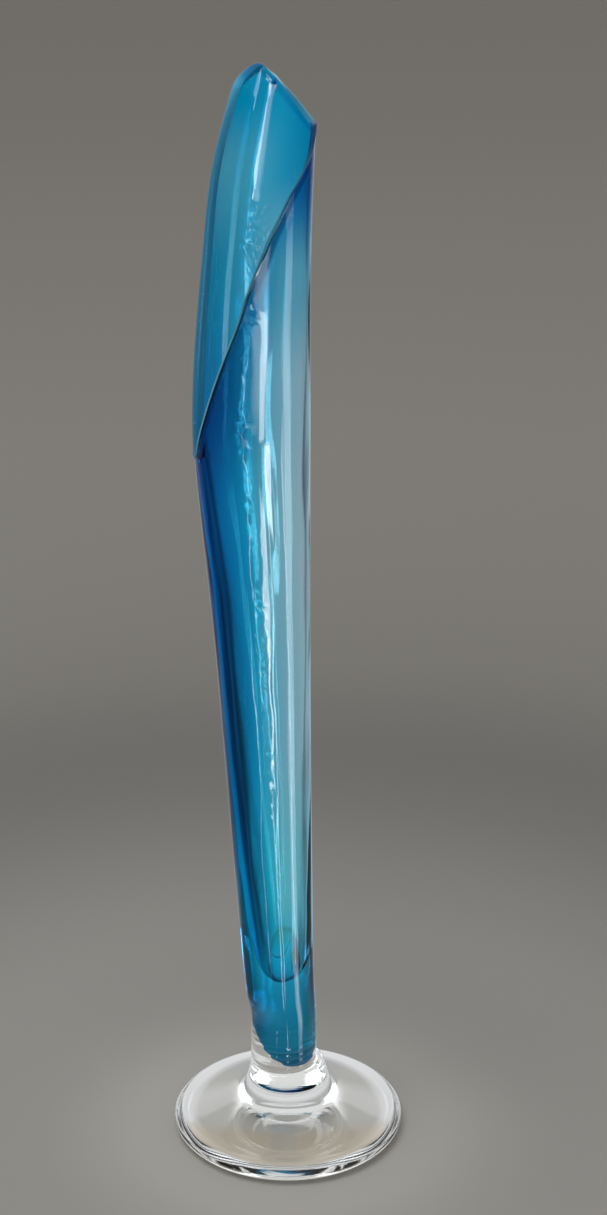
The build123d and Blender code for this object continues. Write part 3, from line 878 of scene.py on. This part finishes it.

# %% [markdown]
# ## Blue glass
# The blue's colour is partly its own and partly painted light and shade. It is painted dark along the left edge, round
# the nose and along the right edge near the top, where the glass shows dark surroundings. It is painted pale on the
# right, where it shows a bright room, though the wall is also thinner there. A volume alone would need exact
# thicknesses, so the tint is written down instead, level by level up the vase and across it, and a light volume adds
# the deepening with the way that light travels. Near the rim the blue gets a painted shade as well. The surface lets
# light straight through, because the clear wall around it does the bending.

# %% Mix the blue glass
# height in millimetres, then across from the left (-1) to the right (1) and the colour that one wall gives there,
# which holds painted shade at the edges and painted light on the right
BLUE_WITH_PAINTED_LIGHT = [
    (39, [
        (-1.0, (0.003, 0.12, 0.28)), (0.0, (0.006, 0.20, 0.38)), (1.0, (0.003, 0.10, 0.26)),
    ]),
    (50, [
        (-1.0, (0.002, 0.14, 0.32)), (-0.3, (0.012, 0.36, 0.56)), (0.3, (0.03, 0.46, 0.64)),
        (1.0, (0.01, 0.34, 0.54)),
    ]),
    (78, [
        (-1.0, (0.002, 0.05, 0.14)), (-0.92, (0.004, 0.12, 0.26)), (-0.84, (0.01, 0.28, 0.44)),
        (-0.65, (0.02, 0.31, 0.48)), (-0.2, (0.08, 0.46, 0.60)), (0.5, (0.19, 0.58, 0.74)),
        (1.0, (0.08, 0.42, 0.62)),
    ]),
    (102, [
        (-1.0, (0.002, 0.05, 0.14)), (-0.94, (0.003, 0.13, 0.29)), (-0.87, (0.02, 0.46, 0.66)),
        (-0.65, (0.03, 0.52, 0.72)), (-0.2, (0.16, 0.78, 0.92)), (0.5, (0.46, 0.86, 0.96)),
        (1.0, (0.45, 0.80, 0.95)),
    ]),
    (130, [
        (-1.0, (0.0005, 0.03, 0.08)), (-0.96, (0.001, 0.07, 0.18)), (-0.90, (0.02, 0.54, 0.78)),
        (-0.71, (0.03, 0.68, 0.90)), (-0.3, (0.18, 0.88, 1.0)), (0.2, (0.55, 0.95, 1.0)), (1.0, (0.70, 0.95, 1.0)),
    ]),
    (220, [
        (-1.0, (0.0005, 0.02, 0.06)), (-0.965, (0.001, 0.05, 0.13)), (-0.925, (0.02, 0.42, 0.66)),
        (-0.76, (0.03, 0.48, 0.70)), (-0.28, (0.13, 0.76, 0.95)), (0.12, (0.58, 0.86, 0.95)),
        (1.0, (0.84, 0.94, 0.97)),
    ]),
    (330, [
        (-1.0, (0.0005, 0.02, 0.07)), (-0.97, (0.001, 0.05, 0.15)), (-0.935, (0.02, 0.48, 0.80)),
        (-0.65, (0.03, 0.54, 0.82)), (-0.13, (0.15, 0.75, 0.93)), (0.12, (0.58, 0.87, 0.95)),
        (1.0, (0.88, 0.95, 0.97)),
    ]),
    (400, [
        (-1.0, (0.002, 0.22, 0.54)), (-0.6, (0.01, 0.32, 0.60)), (-0.15, (0.08, 0.52, 0.72)),
        (0.2, (0.52, 0.82, 0.93)), (1.0, (0.84, 0.94, 0.98)),
    ]),
    (450, [
        (-1.0, (0.003, 0.30, 0.54)), (-0.5, (0.03, 0.42, 0.62)), (-0.05, (0.10, 0.54, 0.76)),
        (0.4, (0.34, 0.74, 0.88)), (1.0, (0.50, 0.84, 0.94)),
    ]),
    (500, [
        (-1.0, (0.12, 0.48, 0.65)), (-0.4, (0.10, 0.55, 0.73)), (0.0, (0.09, 0.62, 0.85)),
        (0.4, (0.02, 0.50, 0.80)), (1.0, (0.001, 0.36, 0.66)),
    ]),
    (532, [
        (-1.0, (0.002, 0.42, 0.68)), (-0.4, (0.002, 0.46, 0.74)), (0.2, (0.006, 0.52, 0.84)),
        (1.0, (0.001, 0.36, 0.68)),
    ]),
]
# turn along the rim, then the painted shade that the blue close to the rim is multiplied by
PAINTED_RIM_SHADE = [
    (90, (0.5, 0.75, 0.85)), (114, (0.5, 0.75, 0.85)), (119, (0.04, 0.25, 0.36)), (150, (0.08, 0.35, 0.5)),
    (168, (0.7, 0.85, 0.9)), (180, (1, 1, 1)), (215, (1, 1, 1)), (245, (0.8, 0.9, 0.92)),
    (262, (0.35, 0.55, 0.62)), (300, (0.25, 0.48, 0.58)), (335, (0.2, 0.4, 0.65)), (352, (0.03, 0.16, 0.45)),
    (366, (0.03, 0.16, 0.45)), (378, (0.5, 0.75, 0.85)), (450, (0.5, 0.75, 0.85)),
]
# from the first gap to the rim the painted shade is full, and at the second it is gone, in millimetres
RIM_FADE = (2.6, 3.6)
BLUE_DEPTHS, BLUE_DENSITY = (0.05, 0.88, 0.97, 1), 75.0
STREAK_SCALE, STREAK_DETAIL, STREAK_DRAW, STREAK_SWAY = 140.0, 4.0, (1.0, 1.0, 0.06), 0.06


def turn_share(tree):
    """The turn along the rim, from 90 to 450 degrees, as 0 to 1."""
    return math_node(tree, "DIVIDE", math_node(tree, "SUBTRACT", point_value(tree, "rim_turn"), 90.0), 360.0)


def rim_stops(rows, column=1):
    """Stops of a ramp along the rim, from rows that start with the turn."""
    return [((row[0] - 90) / 360, row[column]) for row in rows]


def blue_material():
    """Blue glass coloured by its height and its place across the tube, with painted shade and painted light in that
    colour and a painted shade near the rim, and a little by the way through it.
    """
    made, tree, shader, out = empty_material("blue_glass")
    shader.inputs["Transmission Weight"].default_value = 1.0
    shader.inputs["IOR"].default_value = 1.0
    shader.inputs["Roughness"].default_value = 0.0
    absorb = tree.nodes.new("ShaderNodeVolumeAbsorption")
    absorb.inputs["Color"].default_value = BLUE_DEPTHS
    absorb.inputs["Density"].default_value = BLUE_DENSITY
    tree.links.new(absorb.outputs["Volume"], out.inputs["Volume"])
    streaks = noise(tree, STREAK_SCALE, STREAK_DETAIL, STREAK_DRAW)
    sway = ranged(tree, streaks, 0.0, 1.0, -STREAK_SWAY, STREAK_SWAY)
    share = ranged(tree, math_node(tree, "ADD", point_value(tree, "across"), sway), -1.0, 1.0)
    height = point_value(tree, "height")
    colour = reached = None
    # each level's ramp holds painted shade at the edges and painted light on the right, over the blue's own colour
    for level, stops in BLUE_WITH_PAINTED_LIGHT:
        here = ramp_at(tree, share, [((side + 1) / 2, tone) for side, tone in stops])
        if colour is None:
            colour = here
        else:
            colour = mixed(tree, ranged(tree, height, reached, level, smooth=True), colour, here)
        reached = level
    # painted shade on the blue close to the rim, where the cut edge looks dark
    near = ranged(tree, point_value(tree, "rim_gap"), *RIM_FADE, 1.0, 0.0, smooth=True)
    colour = mixed(tree, near, colour, ramp_at(tree, turn_share(tree), rim_stops(PAINTED_RIM_SHADE)), "MULTIPLY")
    tree.links.new(colour, shader.inputs["Base Color"])
    return made


blue_tint_and_painted_light = blue_material()
print("blue glass:", len(BLUE_WITH_PAINTED_LIGHT), "levels,", len(blue_tint_and_painted_light.node_tree.nodes), "nodes")

# %% [markdown]
# ## The lip
# The cut edge shows the blue end-on under a satin skin. Its colours hold painted shade and painted highlight: painted
# dark at the arch and the corner, a pale cyan painted highlight along the diagonal, and a lighter painted highlight
# line outside. It is part of the casing's mesh, so it is a second material on its faces and not a piece. Its colours
# run along the rim in two ramps, one for each of its edges.

# %% Polish the lip
# turn along the rim, then the lip's colour at its outer edge and at its inner edge, with painted highlight and painted
# shade in them
LIP_COLOUR_AND_PAINTED_LIGHT = [
    (90, (0.22, 0.46, 0.56), (0.02, 0.20, 0.34)), (114, (0.12, 0.34, 0.46), (0.01, 0.16, 0.28)),
    (119, (0.002, 0.06, 0.16), (0.003, 0.09, 0.22)), (150, (0.004, 0.09, 0.22), (0.01, 0.20, 0.42)),
    (166, (0.10, 0.22, 0.30), (0.05, 0.38, 0.64)), (175, (0.24, 0.32, 0.34), (0.06, 0.40, 0.66)),
    (181, (0.26, 0.34, 0.36), (0.03, 0.32, 0.58)), (186, (0.05, 0.22, 0.42), (0.01, 0.20, 0.45)),
    (205, (0.26, 0.66, 0.84), (0.05, 0.45, 0.70)), (245, (0.26, 0.68, 0.84), (0.06, 0.50, 0.70)),
    (260, (0.08, 0.38, 0.52), (0.05, 0.34, 0.48)), (305, (0.03, 0.26, 0.38), (0.03, 0.24, 0.36)),
    (345, (0.002, 0.05, 0.16), (0.002, 0.04, 0.13)), (372, (0.003, 0.05, 0.18), (0.003, 0.04, 0.14)),
    (382, (0.22, 0.46, 0.56), (0.02, 0.20, 0.34)), (450, (0.22, 0.46, 0.56), (0.02, 0.20, 0.34)),
]
# turn along the rim, then how much light the lip lets through
LIP_CLEAR = [(90, 0.3), (185, 0.3), (200, 0.45), (262, 0.5), (330, 0.4), (350, 0.3), (450, 0.3)]
# over this part of the lip's width its outer colour turns into its inner one
LIP_CROSSING = (0.1, 0.55)
LIP_GRAIN, LIP_ROUGH = 260.0, (0.12, 0.34)


def lip_material():
    """The fire-polished lip: a satin skin over the edge of the blue, with a painted highlight at its outer edge and
    painted shade at the arch and the corner.
    """
    made, tree, shader, _ = empty_material("lip_glass")
    shader.inputs["IOR"].default_value = GLASS_IOR
    shader.inputs["Specular IOR Level"].default_value = 0.12
    share = turn_share(tree)
    # the outer ramp holds a painted highlight, and both hold painted shade at the arch and the corner
    outer, inner = (ramp_at(tree, share, rim_stops(LIP_COLOUR_AND_PAINTED_LIGHT, column)) for column in (1, 2))
    across = ranged(tree, point_value(tree, "lip"), *LIP_CROSSING, smooth=True)
    clearness = ramp_at(tree, share, rim_stops([(turn, (through,) * 3) for turn, through in LIP_CLEAR]))
    tree.links.new(clearness, shader.inputs["Transmission Weight"])
    tree.links.new(mixed(tree, across, outer, inner), shader.inputs["Base Color"])
    tree.links.new(ranged(tree, noise(tree, LIP_GRAIN, 2.0), 0.0, 1.0, *LIP_ROUGH), shader.inputs["Roughness"])
    return made


lip_glass = lip_material()
print("lip:", len(LIP_COLOUR_AND_PAINTED_LIGHT), "tones along", len(rim), "points of the rim")

# %% [markdown]
# ## Places kept in the mesh
# The tints above ask where a point is on the vase. Each point of the walls therefore keeps its height, its place
# across the tube, how folded the glass is there, and where along the rim and how near to it the point lies.

# %% Keep each point's place
# where the glass swirls: turn and height of the middle, half sizes in degrees and millimetres, and how strongly
SWIRLS = [
    (91, 466, 14, 13, 1.0), (88, 440, 8, 9, 0.6), (263, 437, 9, 11, 0.8), (258, 383, 9, 9, 1.0),
    (266, 345, 6, 16, 0.35), (271, 285, 7, 30, 0.3), (272, 215, 7, 30, 0.25),
]
# points this far below the lowest rim have no use for the rim's values
RIM_ZONE, FAR_GAP, ON_LIP = 40, 99.0, 0.01


def note_place(piece):
    """Keeps each point's height and its place across the tube, from -1 on the left to 1 on the right."""
    points = np.zeros(len(piece.data.vertices) * 3)
    piece.data.vertices.foreach_get("co", points)
    points = points.reshape(-1, 3) / MM
    height = np.maximum(points[:, 2], COLLAR_TOP)
    left, right = (tube_skin(np.full(len(height), turn), height)[:, 0] for turn in (math.pi, 0.0))
    across = np.clip((points[:, 0] - (left + right) / 2) / ((right - left) / 2), -1, 1)
    around = np.degrees(np.arctan2(points[:, 1], points[:, 0] - (left + right) / 2))
    folded = np.zeros(len(points))
    for turn, level, half_turn, half_height, amount in SWIRLS:
        off = (around - turn + 180) % 360 - 180
        folded += amount * np.exp(-((off / half_turn) ** 2) - ((points[:, 2] - level) / half_height) ** 2)
    rows = LIP_ROWS[piece.name]
    tree = tree_of(np.vstack(rows))
    lip, gap, turn = -np.ones(len(points)), np.full(len(points), FAR_GAP), np.zeros(len(points))
    for n in np.flatnonzero(points[:, 2] > rim[:, 1].min() - RIM_ZONE):
        _, found, gap[n] = tree.find(points[n])
        turn[n] = math.degrees(rim[found % len(rim), 0])
        if gap[n] < ON_LIP:
            lip[n] = found // len(rim) / LIP_STEPS
    kept = dict(across=across, height=points[:, 2], folded=folded, lip=lip, rim_gap=gap, rim_turn=turn)
    for name, values in kept.items():
        piece.data.attributes.new(name, "FLOAT", "POINT").data.foreach_set("value", values.astype(np.float32))
    return lip


note_place(blue)
casing_lip = note_place(casing)
print("points on the lip:", int((casing_lip >= 0).sum()))

# %% [markdown]
# ## Each piece wears its glass
# Where two pieces are fused, their level faces touch. Light should cross such a joint without seeing it, so those
# faces wear a fully clear material, and the same glass goes on beyond it.

# %% Dress the pieces
joint, _, joint_shader, _ = empty_material("fused_joint")
joint_shader.inputs["Alpha"].default_value = 0.0


def wear(piece, glass, joint_heights=()):
    """Gives a piece its glass, and the clear joint to the level faces where it is fused to its neighbour."""
    piece.data.materials.append(glass)
    if joint_heights:
        piece.data.materials.append(joint)
    for face in piece.data.polygons:
        zs = [piece.data.vertices[n].co.z / MM for n in face.vertices]
        if any(max(abs(z - height) for z in zs) < 0.01 for height in joint_heights):
            face.material_index = 1


wear(casing, clear, (COLLAR_TOP,))
wear(collar, clear, (COLLAR_TOP, FOOT_HEIGHT))
wear(foot, foot_clear, (FOOT_HEIGHT,))
wear(blue, blue_tint_and_painted_light)
casing.data.materials.append(lip_glass)
for face in casing.data.polygons:
    if all(casing_lip[n] >= 0 for n in face.vertices):
        face.material_index = 2
print("faces of the lip:", sum(face.material_index == 2 for face in casing.data.polygons))

# %% [markdown]
# ## The stage
# The vase stands on a plain pale floor that runs back out of sight. Its tone is painted light and shade that changes
# only with the distance from the vase: brightest close to it, darkest half a metre away and brighter again some metres
# off. So it looks the same from every side. The distances grow fast, so the ramp runs along their logarithm.

# %% Lay the floor
FLOOR_GAP = 0.05 * MM
FLOOR_REACH, FLOOR_RINGS, FLOOR_SIDES = 30.0, 24, 64
# the ramp runs from 10 ** -2 to 10 ** 2 metres
FLOOR_POWER = 2
# distance from the vase in metres, then the painted light and shade of the floor there, and how warm it is
FLOOR_PAINTED_LIGHT = [
    (0.08, 0.345, 0.10), (0.105, 0.30, 0.10), (0.14, 0.262, 0.10), (0.20, 0.266, 0.10), (0.25, 0.255, 0.10),
    (0.33, 0.218, 0.10), (0.42, 0.178, 0.11), (0.52, 0.166, 0.11), (0.64, 0.213, 0.12), (0.78, 0.238, 0.13),
    (0.94, 0.256, 0.13), (1.13, 0.273, 0.13), (1.36, 0.29, 0.14), (2.0, 0.31, 0.15), (3.05, 0.312, 0.16),
    (3.9, 0.30, 0.17), (5.1, 0.289, 0.17), (7.2, 0.275, 0.18),
]


def flat_ring(radius, height, count):
    """The points of a level circle."""
    return [(radius * math.cos(a), radius * math.sin(a), height) for a in np.linspace(0, 2 * math.pi, count, False)]


def lay_flat(name, points, faces, material):
    """A flat object of the stage."""
    mesh = bpy.data.meshes.new(name)
    mesh.from_pydata(points, [], faces)
    mesh.materials.append(material)
    made = bpy.data.objects.new(name, mesh)
    bpy.context.scene.collection.objects.link(made)
    print(name, len(faces), "faces")
    return made


def distance_out(tree):
    """How far a point lies from the origin."""
    place, reach = tree.nodes.new("ShaderNodeTexCoord"), tree.nodes.new("ShaderNodeVectorMath")
    reach.operation = "LENGTH"
    tree.links.new(place.outputs["Object"], reach.inputs[0])
    return reach.outputs["Value"]


paper, paper_tree, paper_shader, _ = empty_material("floor_paper")
paper_shader.inputs["Roughness"].default_value = 0.9
paper_shader.inputs["Specular IOR Level"].default_value = 0.1
power = math_node(paper_tree, "LOGARITHM", distance_out(paper_tree), 10.0)
# painted light and shade on the floor, by distance from the vase
floor_stops = [
    ((math.log10(distance) + FLOOR_POWER) / (2 * FLOOR_POWER), (tone, tone * (1 - 0.35 * warmth), tone * (1 - warmth)))
    for distance, tone, warmth in FLOOR_PAINTED_LIGHT
]
painted_floor_light = ramp_at(paper_tree, ranged(paper_tree, power, -FLOOR_POWER, FLOOR_POWER), floor_stops)
painted_floor_light.node.color_ramp.interpolation = "B_SPLINE"
paper_tree.links.new(painted_floor_light, paper_shader.inputs["Base Color"])

floor_points, floor_faces = [(0, 0, -FLOOR_GAP)], []
for n, radius in enumerate(np.geomspace(0.1, FLOOR_REACH, FLOOR_RINGS)):
    floor_points += flat_ring(radius, -FLOOR_GAP, FLOOR_SIDES)
    here = 1 + n * FLOOR_SIDES
    for k, after in zip(range(FLOOR_SIDES), [*range(1, FLOOR_SIDES), 0]):
        inner = (0,) if n == 0 else (here - FLOOR_SIDES + k,)
        outer_end = () if n == 0 else (here - FLOOR_SIDES + after,)
        floor_faces.append((*inner, here + k, here + after, *outer_end))
floor = lay_flat("floor", floor_points, floor_faces, paper)
floor.visible_glossy = False
floor.visible_transmission = False

# %% [markdown]
# ## What the foot shows of the floor
# The clear foot works as a lens and gathers the floor around and under it. A glowing card that only glass can see
# gives those tones without noise: plain under the middle, painted bright under the rim so that the foot's rim shows a
# painted highlight, and a little warmer towards the camera.

# %% Lay the card under the foot
# distance from the axis in millimetres, then the glow that stands for the floor as the glass shows it, painted bright
# under the rim, and how solid it is
SPOT_TONES = [
    (0, (0.34, 0.335, 0.315), 1), (30, (0.34, 0.335, 0.31), 1), (45, (0.35, 0.345, 0.33), 1),
    (52, (0.66, 0.67, 0.68), 1), (60, (0.76, 0.77, 0.78), 1), (70, (0.50, 0.495, 0.48), 1),
    (90, (0.30, 0.295, 0.28), 0.6), (140, (0.28, 0.275, 0.26), 0),
]
SPOT_REACH, SPOT_SIDES = 150, 96
# between these depths in front of the axis the card turns warmer
SPOT_FRONT, SPOT_WARMTH = (-6 * MM, -22 * MM), (1.06, 0.95, 0.80, 1)


def either(tree, share, first, second):
    """The first shader where the share is 0 and the second where it is 1."""
    node = tree.nodes.new("ShaderNodeMixShader")
    for socket, value in zip(node.inputs, (share, first, second)):
        tree.links.new(value, socket)
    return node.outputs["Shader"]


spot_glow, spot_tree, glow, spot_out = empty_material("spot_glow", "ShaderNodeEmission")
spot_share = ranged(spot_tree, distance_out(spot_tree), 0.0, SPOT_REACH * MM)
# the card glows, and its glow is painted brighter under the foot's rim, which shows it as a highlight
spot_tone = ramp_at(spot_tree, spot_share, [(far / SPOT_REACH, tint) for far, tint, _ in SPOT_TONES])
spot_solid = ramp_at(spot_tree, spot_share, [(far / SPOT_REACH, (solid,) * 3) for far, _, solid in SPOT_TONES])
spot_place, spot_axes, see_through = (
    spot_tree.nodes.new("ShaderNode" + n) for n in ("TexCoord", "SeparateXYZ", "BsdfTransparent")
)
spot_tree.links.new(spot_place.outputs["Object"], spot_axes.inputs["Vector"])
in_front = ranged(spot_tree, spot_axes.outputs["Y"], *SPOT_FRONT, smooth=True)
spot_tree.links.new(mixed(spot_tree, in_front, spot_tone, SPOT_WARMTH, "MULTIPLY"), glow.inputs["Color"])
spot_look = either(spot_tree, spot_solid, see_through.outputs["BSDF"], glow.outputs["Emission"])
spot_tree.links.new(spot_look, spot_out.inputs["Surface"])

spot_ring = flat_ring(SPOT_REACH * MM, -0.5 * FLOOR_GAP, SPOT_SIDES)
glowing_floor_card = lay_flat("glowing_floor_card", spot_ring, [tuple(range(SPOT_SIDES))], spot_glow)
glowing_floor_card.visible_camera = False
glowing_floor_card.visible_shadow = False
glowing_floor_card.visible_diffuse = False

# %% [markdown]
# ## The room
# Glass shows what is around it more than its own surface. The room is the world's own light, painted by direction:
# a turn round the vase and a lift above the horizon, both in degrees. It is dark at the sides and pale behind. Rays
# that come straight through the glass get a paler room than the ones that it mirrors.

# %% Paint the room
world = bpy.data.worlds.new("room")
bpy.context.scene.world = world
world.use_nodes = True
room = world.node_tree
room.nodes.clear()

direction, axes = room.nodes.new("ShaderNodeTexCoord"), room.nodes.new("ShaderNodeSeparateXYZ")
room.links.new(direction.outputs["Generated"], axes.inputs["Vector"])
right, back, upwards = (axes.outputs[n] for n in "XYZ")
DEGREES = 180 / math.pi
front = math_node(room, "MULTIPLY", back, -1.0)
back_turn = math_node(room, "MULTIPLY", math_node(room, "ARCTAN2", right, back), DEGREES)
front_turn = math_node(room, "MULTIPLY", math_node(room, "ARCTAN2", right, front), DEGREES)
lift = math_node(room, "MULTIPLY", math_node(room, "ARCSINE", upwards), DEGREES)

# turn from straight behind the vase (right is positive), then the colour of the room there
ROOM_TONES = [
    (-180, (0.06, 0.06, 0.065)), (-120, (0.06, 0.065, 0.07)), (-75, (0.02, 0.025, 0.03)),
    (-50, (0.16, 0.18, 0.21)), (-22, (0.44, 0.48, 0.52)), (0, (0.48, 0.51, 0.55)), (22, (0.50, 0.53, 0.57)),
    (44, (0.16, 0.17, 0.19)), (62, (0.03, 0.032, 0.038)), (120, (0.06, 0.065, 0.07)), (180, (0.06, 0.06, 0.065)),
]
# the same for light that came straight through the glass, which shows a pale room on the camera's side as well
THROUGH_TONES = [
    (-180, (0.46, 0.49, 0.53)), (-112, (0.42, 0.45, 0.49)), (-88, (0.22, 0.24, 0.27)), (-72, (0.03, 0.035, 0.04)),
    (-50, (0.16, 0.18, 0.21)), (-22, (0.44, 0.48, 0.52)), (0, (0.48, 0.51, 0.55)), (22, (0.50, 0.53, 0.57)),
    (44, (0.16, 0.17, 0.19)), (62, (0.03, 0.032, 0.038)), (85, (0.22, 0.24, 0.27)), (108, (0.42, 0.45, 0.49)),
    (180, (0.46, 0.49, 0.53)),
]
# above this lift the room is a white ceiling, and far below the pale floor lights the foot's rim from underneath
CEILING_STARTS, CEILING = (-4.0, 10.0), (0.72, 0.73, 0.72, 1)
BELOW_ENDS, BELOW = (-46.0, -34.0), (0.52, 0.53, 0.52, 1)


seen = room.nodes.new("ShaderNodeLightPath")
mirrored = math_node(room, "MINIMUM", seen.outputs["Glossy Depth"], 1.0)
round_share = math_node(room, "DIVIDE", math_node(room, "ADD", back_turn, 180.0), 360.0)
straight, reflected = (
    ramp_at(room, round_share, [((turn + 180) / 360, colour) for turn, colour in rows])
    for rows in (THROUGH_TONES, ROOM_TONES)
)
walls = mixed(room, mirrored, straight, reflected)
walls = mixed(room, ranged(room, lift, *CEILING_STARTS, smooth=True), walls, CEILING)
walls = mixed(room, ranged(room, lift, *BELOW_ENDS, smooth=True), BELOW, walls)
print("room:", len(ROOM_TONES), "tones round it,", len(THROUGH_TONES), "for light straight through the glass")

# %% [markdown]
# ## The windows
# The streaks in the glass are the windows' reflections. Each window is a bright patch with soft sides, given by a
# row of numbers, so one loop makes them all. Seen straight through the glass they would outshine its colour, so
# there only a small share of them is left.

# %% Open the windows
# turn from the camera's side (right is positive), slant for each degree of lift, half width, softness of the
# sides, lowest and highest lift, softness of the ends, brightness
WINDOWS = [
    (17.0, 0.0, 4.2, 1.2, -15.6, -12.0, 0.5, 8.0),
    (18.0, -0.5, 5.0, 1.2, -18.6, -16.5, 0.6, 12.0),
    (15.0, 0.0, 3.2, 0.8, -21.6, -19.4, 0.7, 9.0),
    (22.0, 0.4, 2.4, 0.6, -25.4, -21.6, 1.2, 9.0),
    (14.0, 0.0, 1.4, 0.4, -31, -23.0, 2.0, 5.0),
    (28.0, 0.25, 1.0, 0.4, -30, -17.5, 1.5, 6.0),
    (40.0, -0.8, 0.8, 0.3, -31, -17, 2.0, 5.0),
    (-12.0, 0.0, 1.2, 0.4, -22, -13, 2.0, 5.0),
    (-24.0, 0.0, 0.8, 0.3, -31, -25, 2.0, 6.0),
    (14.0, 0.0, 7.0, 3.0, -12, -7.6, 3.0, 0.9),
    (12.0, 0.0, 10.0, 9.0, -13.2, -10.0, 3.0, 2.4),
    (62.0, 0.0, 8.0, 2.0, -60, -12, 3.0, 3.0),
    (112.0, 0.0, 16.0, 22.0, -60, -19, 3.0, 0.25),
    (150.0, 0.0, 10.0, 10.0, 8, 34, 3.0, 1.5),
    (-150.0, 0.0, 10.0, 10.0, 8, 34, 3.0, 1.5),
]
THROUGH_PANES = 0.04
PANE_COLOUR = (0.93, 0.97, 1.0, 1)

shine = None
for turn, slant, half, soft, lowest, highest, fade, strength in WINDOWS:
    middle = math_node(room, "MULTIPLY_ADD", lift, slant, turn)
    off = math_node(room, "ABSOLUTE", math_node(room, "SUBTRACT", front_turn, middle))
    pane = ranged(room, off, half - soft / 2, half + soft / 2, 1.0, 0.0, smooth=True)
    pane = math_node(room, "MULTIPLY", pane, ranged(room, lift, lowest - fade, lowest, smooth=True))
    pane = math_node(room, "MULTIPLY", pane, ranged(room, lift, highest, highest + fade, 1.0, 0.0, smooth=True))
    pane = math_node(room, "MULTIPLY", pane, strength)
    shine = pane if shine is None else math_node(room, "ADD", shine, pane)
shown_share = math_node(room, "MULTIPLY_ADD", mirrored, 1 - THROUGH_PANES, THROUGH_PANES)
shine = math_node(room, "MULTIPLY", shine, shown_share)
print("windows:", len(WINDOWS))

# %% [markdown]
# ## Three rooms in one
# Only the glass sees the painted room. The floor gets an even light, so that no window throws a patch on it, and
# the camera sees a plain backdrop that the far floor fades into. One soft lamp above gives the shadow.

# %% Join the lights
EVEN_LIGHT, BACKDROP = 0.5, (0.159, 0.150, 0.130, 1)


def background(colour, strength=1.0):
    """Light of a colour from all round."""
    node = room.nodes.new("ShaderNodeBackground")
    plug(room, node.inputs["Color"], colour)
    plug(room, node.inputs["Strength"], strength)
    return node.outputs["Background"]


both, out = room.nodes.new("ShaderNodeAddShader"), room.nodes.new("ShaderNodeOutputWorld")
room.links.new(background(walls), both.inputs[0])
room.links.new(background(PANE_COLOUR, shine), both.inputs[1])
glassy = math_node(room, "MAXIMUM", seen.outputs["Is Glossy Ray"], seen.outputs["Is Transmission Ray"])
around = either(room, glassy, background((1.0, 1.0, 1.0, 1), EVEN_LIGHT), both.outputs["Shader"])
room.links.new(either(room, seen.outputs["Is Camera Ray"], around, background(BACKDROP)), out.inputs["Surface"])

LAMP_PLACE, LAMP_SIZE, LAMP_POWER = (-0.4, -0.5, 1.9), 1.2, 22
lamp_data = bpy.data.lights.new("sky_top", "AREA")
lamp_data.shape, lamp_data.size, lamp_data.size_y, lamp_data.energy = "RECTANGLE", LAMP_SIZE, LAMP_SIZE, LAMP_POWER
lamp = bpy.data.objects.new("sky_top", lamp_data)
lamp.location = LAMP_PLACE
lamp.rotation_euler = (-Vector(LAMP_PLACE)).to_track_quat("-Z", "Y").to_euler()
lamp.visible_glossy = False
lamp.visible_transmission = False
bpy.context.scene.collection.objects.link(lamp)
print("room's net:", len(room.nodes), "nodes")

# %% [markdown]
# ## Colour management, and the pieces in place of the solids
# The standard view keeps the colours as they were mixed. Each piece then hides the solid that it stands for and rides
# on the vase's one body.

# %% Finish
bpy.context.scene.view_settings.view_transform = "Standard"
for piece, nodes, finish in (
    (foot, ("foot",), "clear_foot_glass"),
    (collar, ("collar",), "clear_collar_glass"),
    (blue, ("blue_body",), "blue_glass"),
    (casing, ("clear_casing",), "clear_casing_glass"),
):
    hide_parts(*nodes)
    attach(piece, "root")
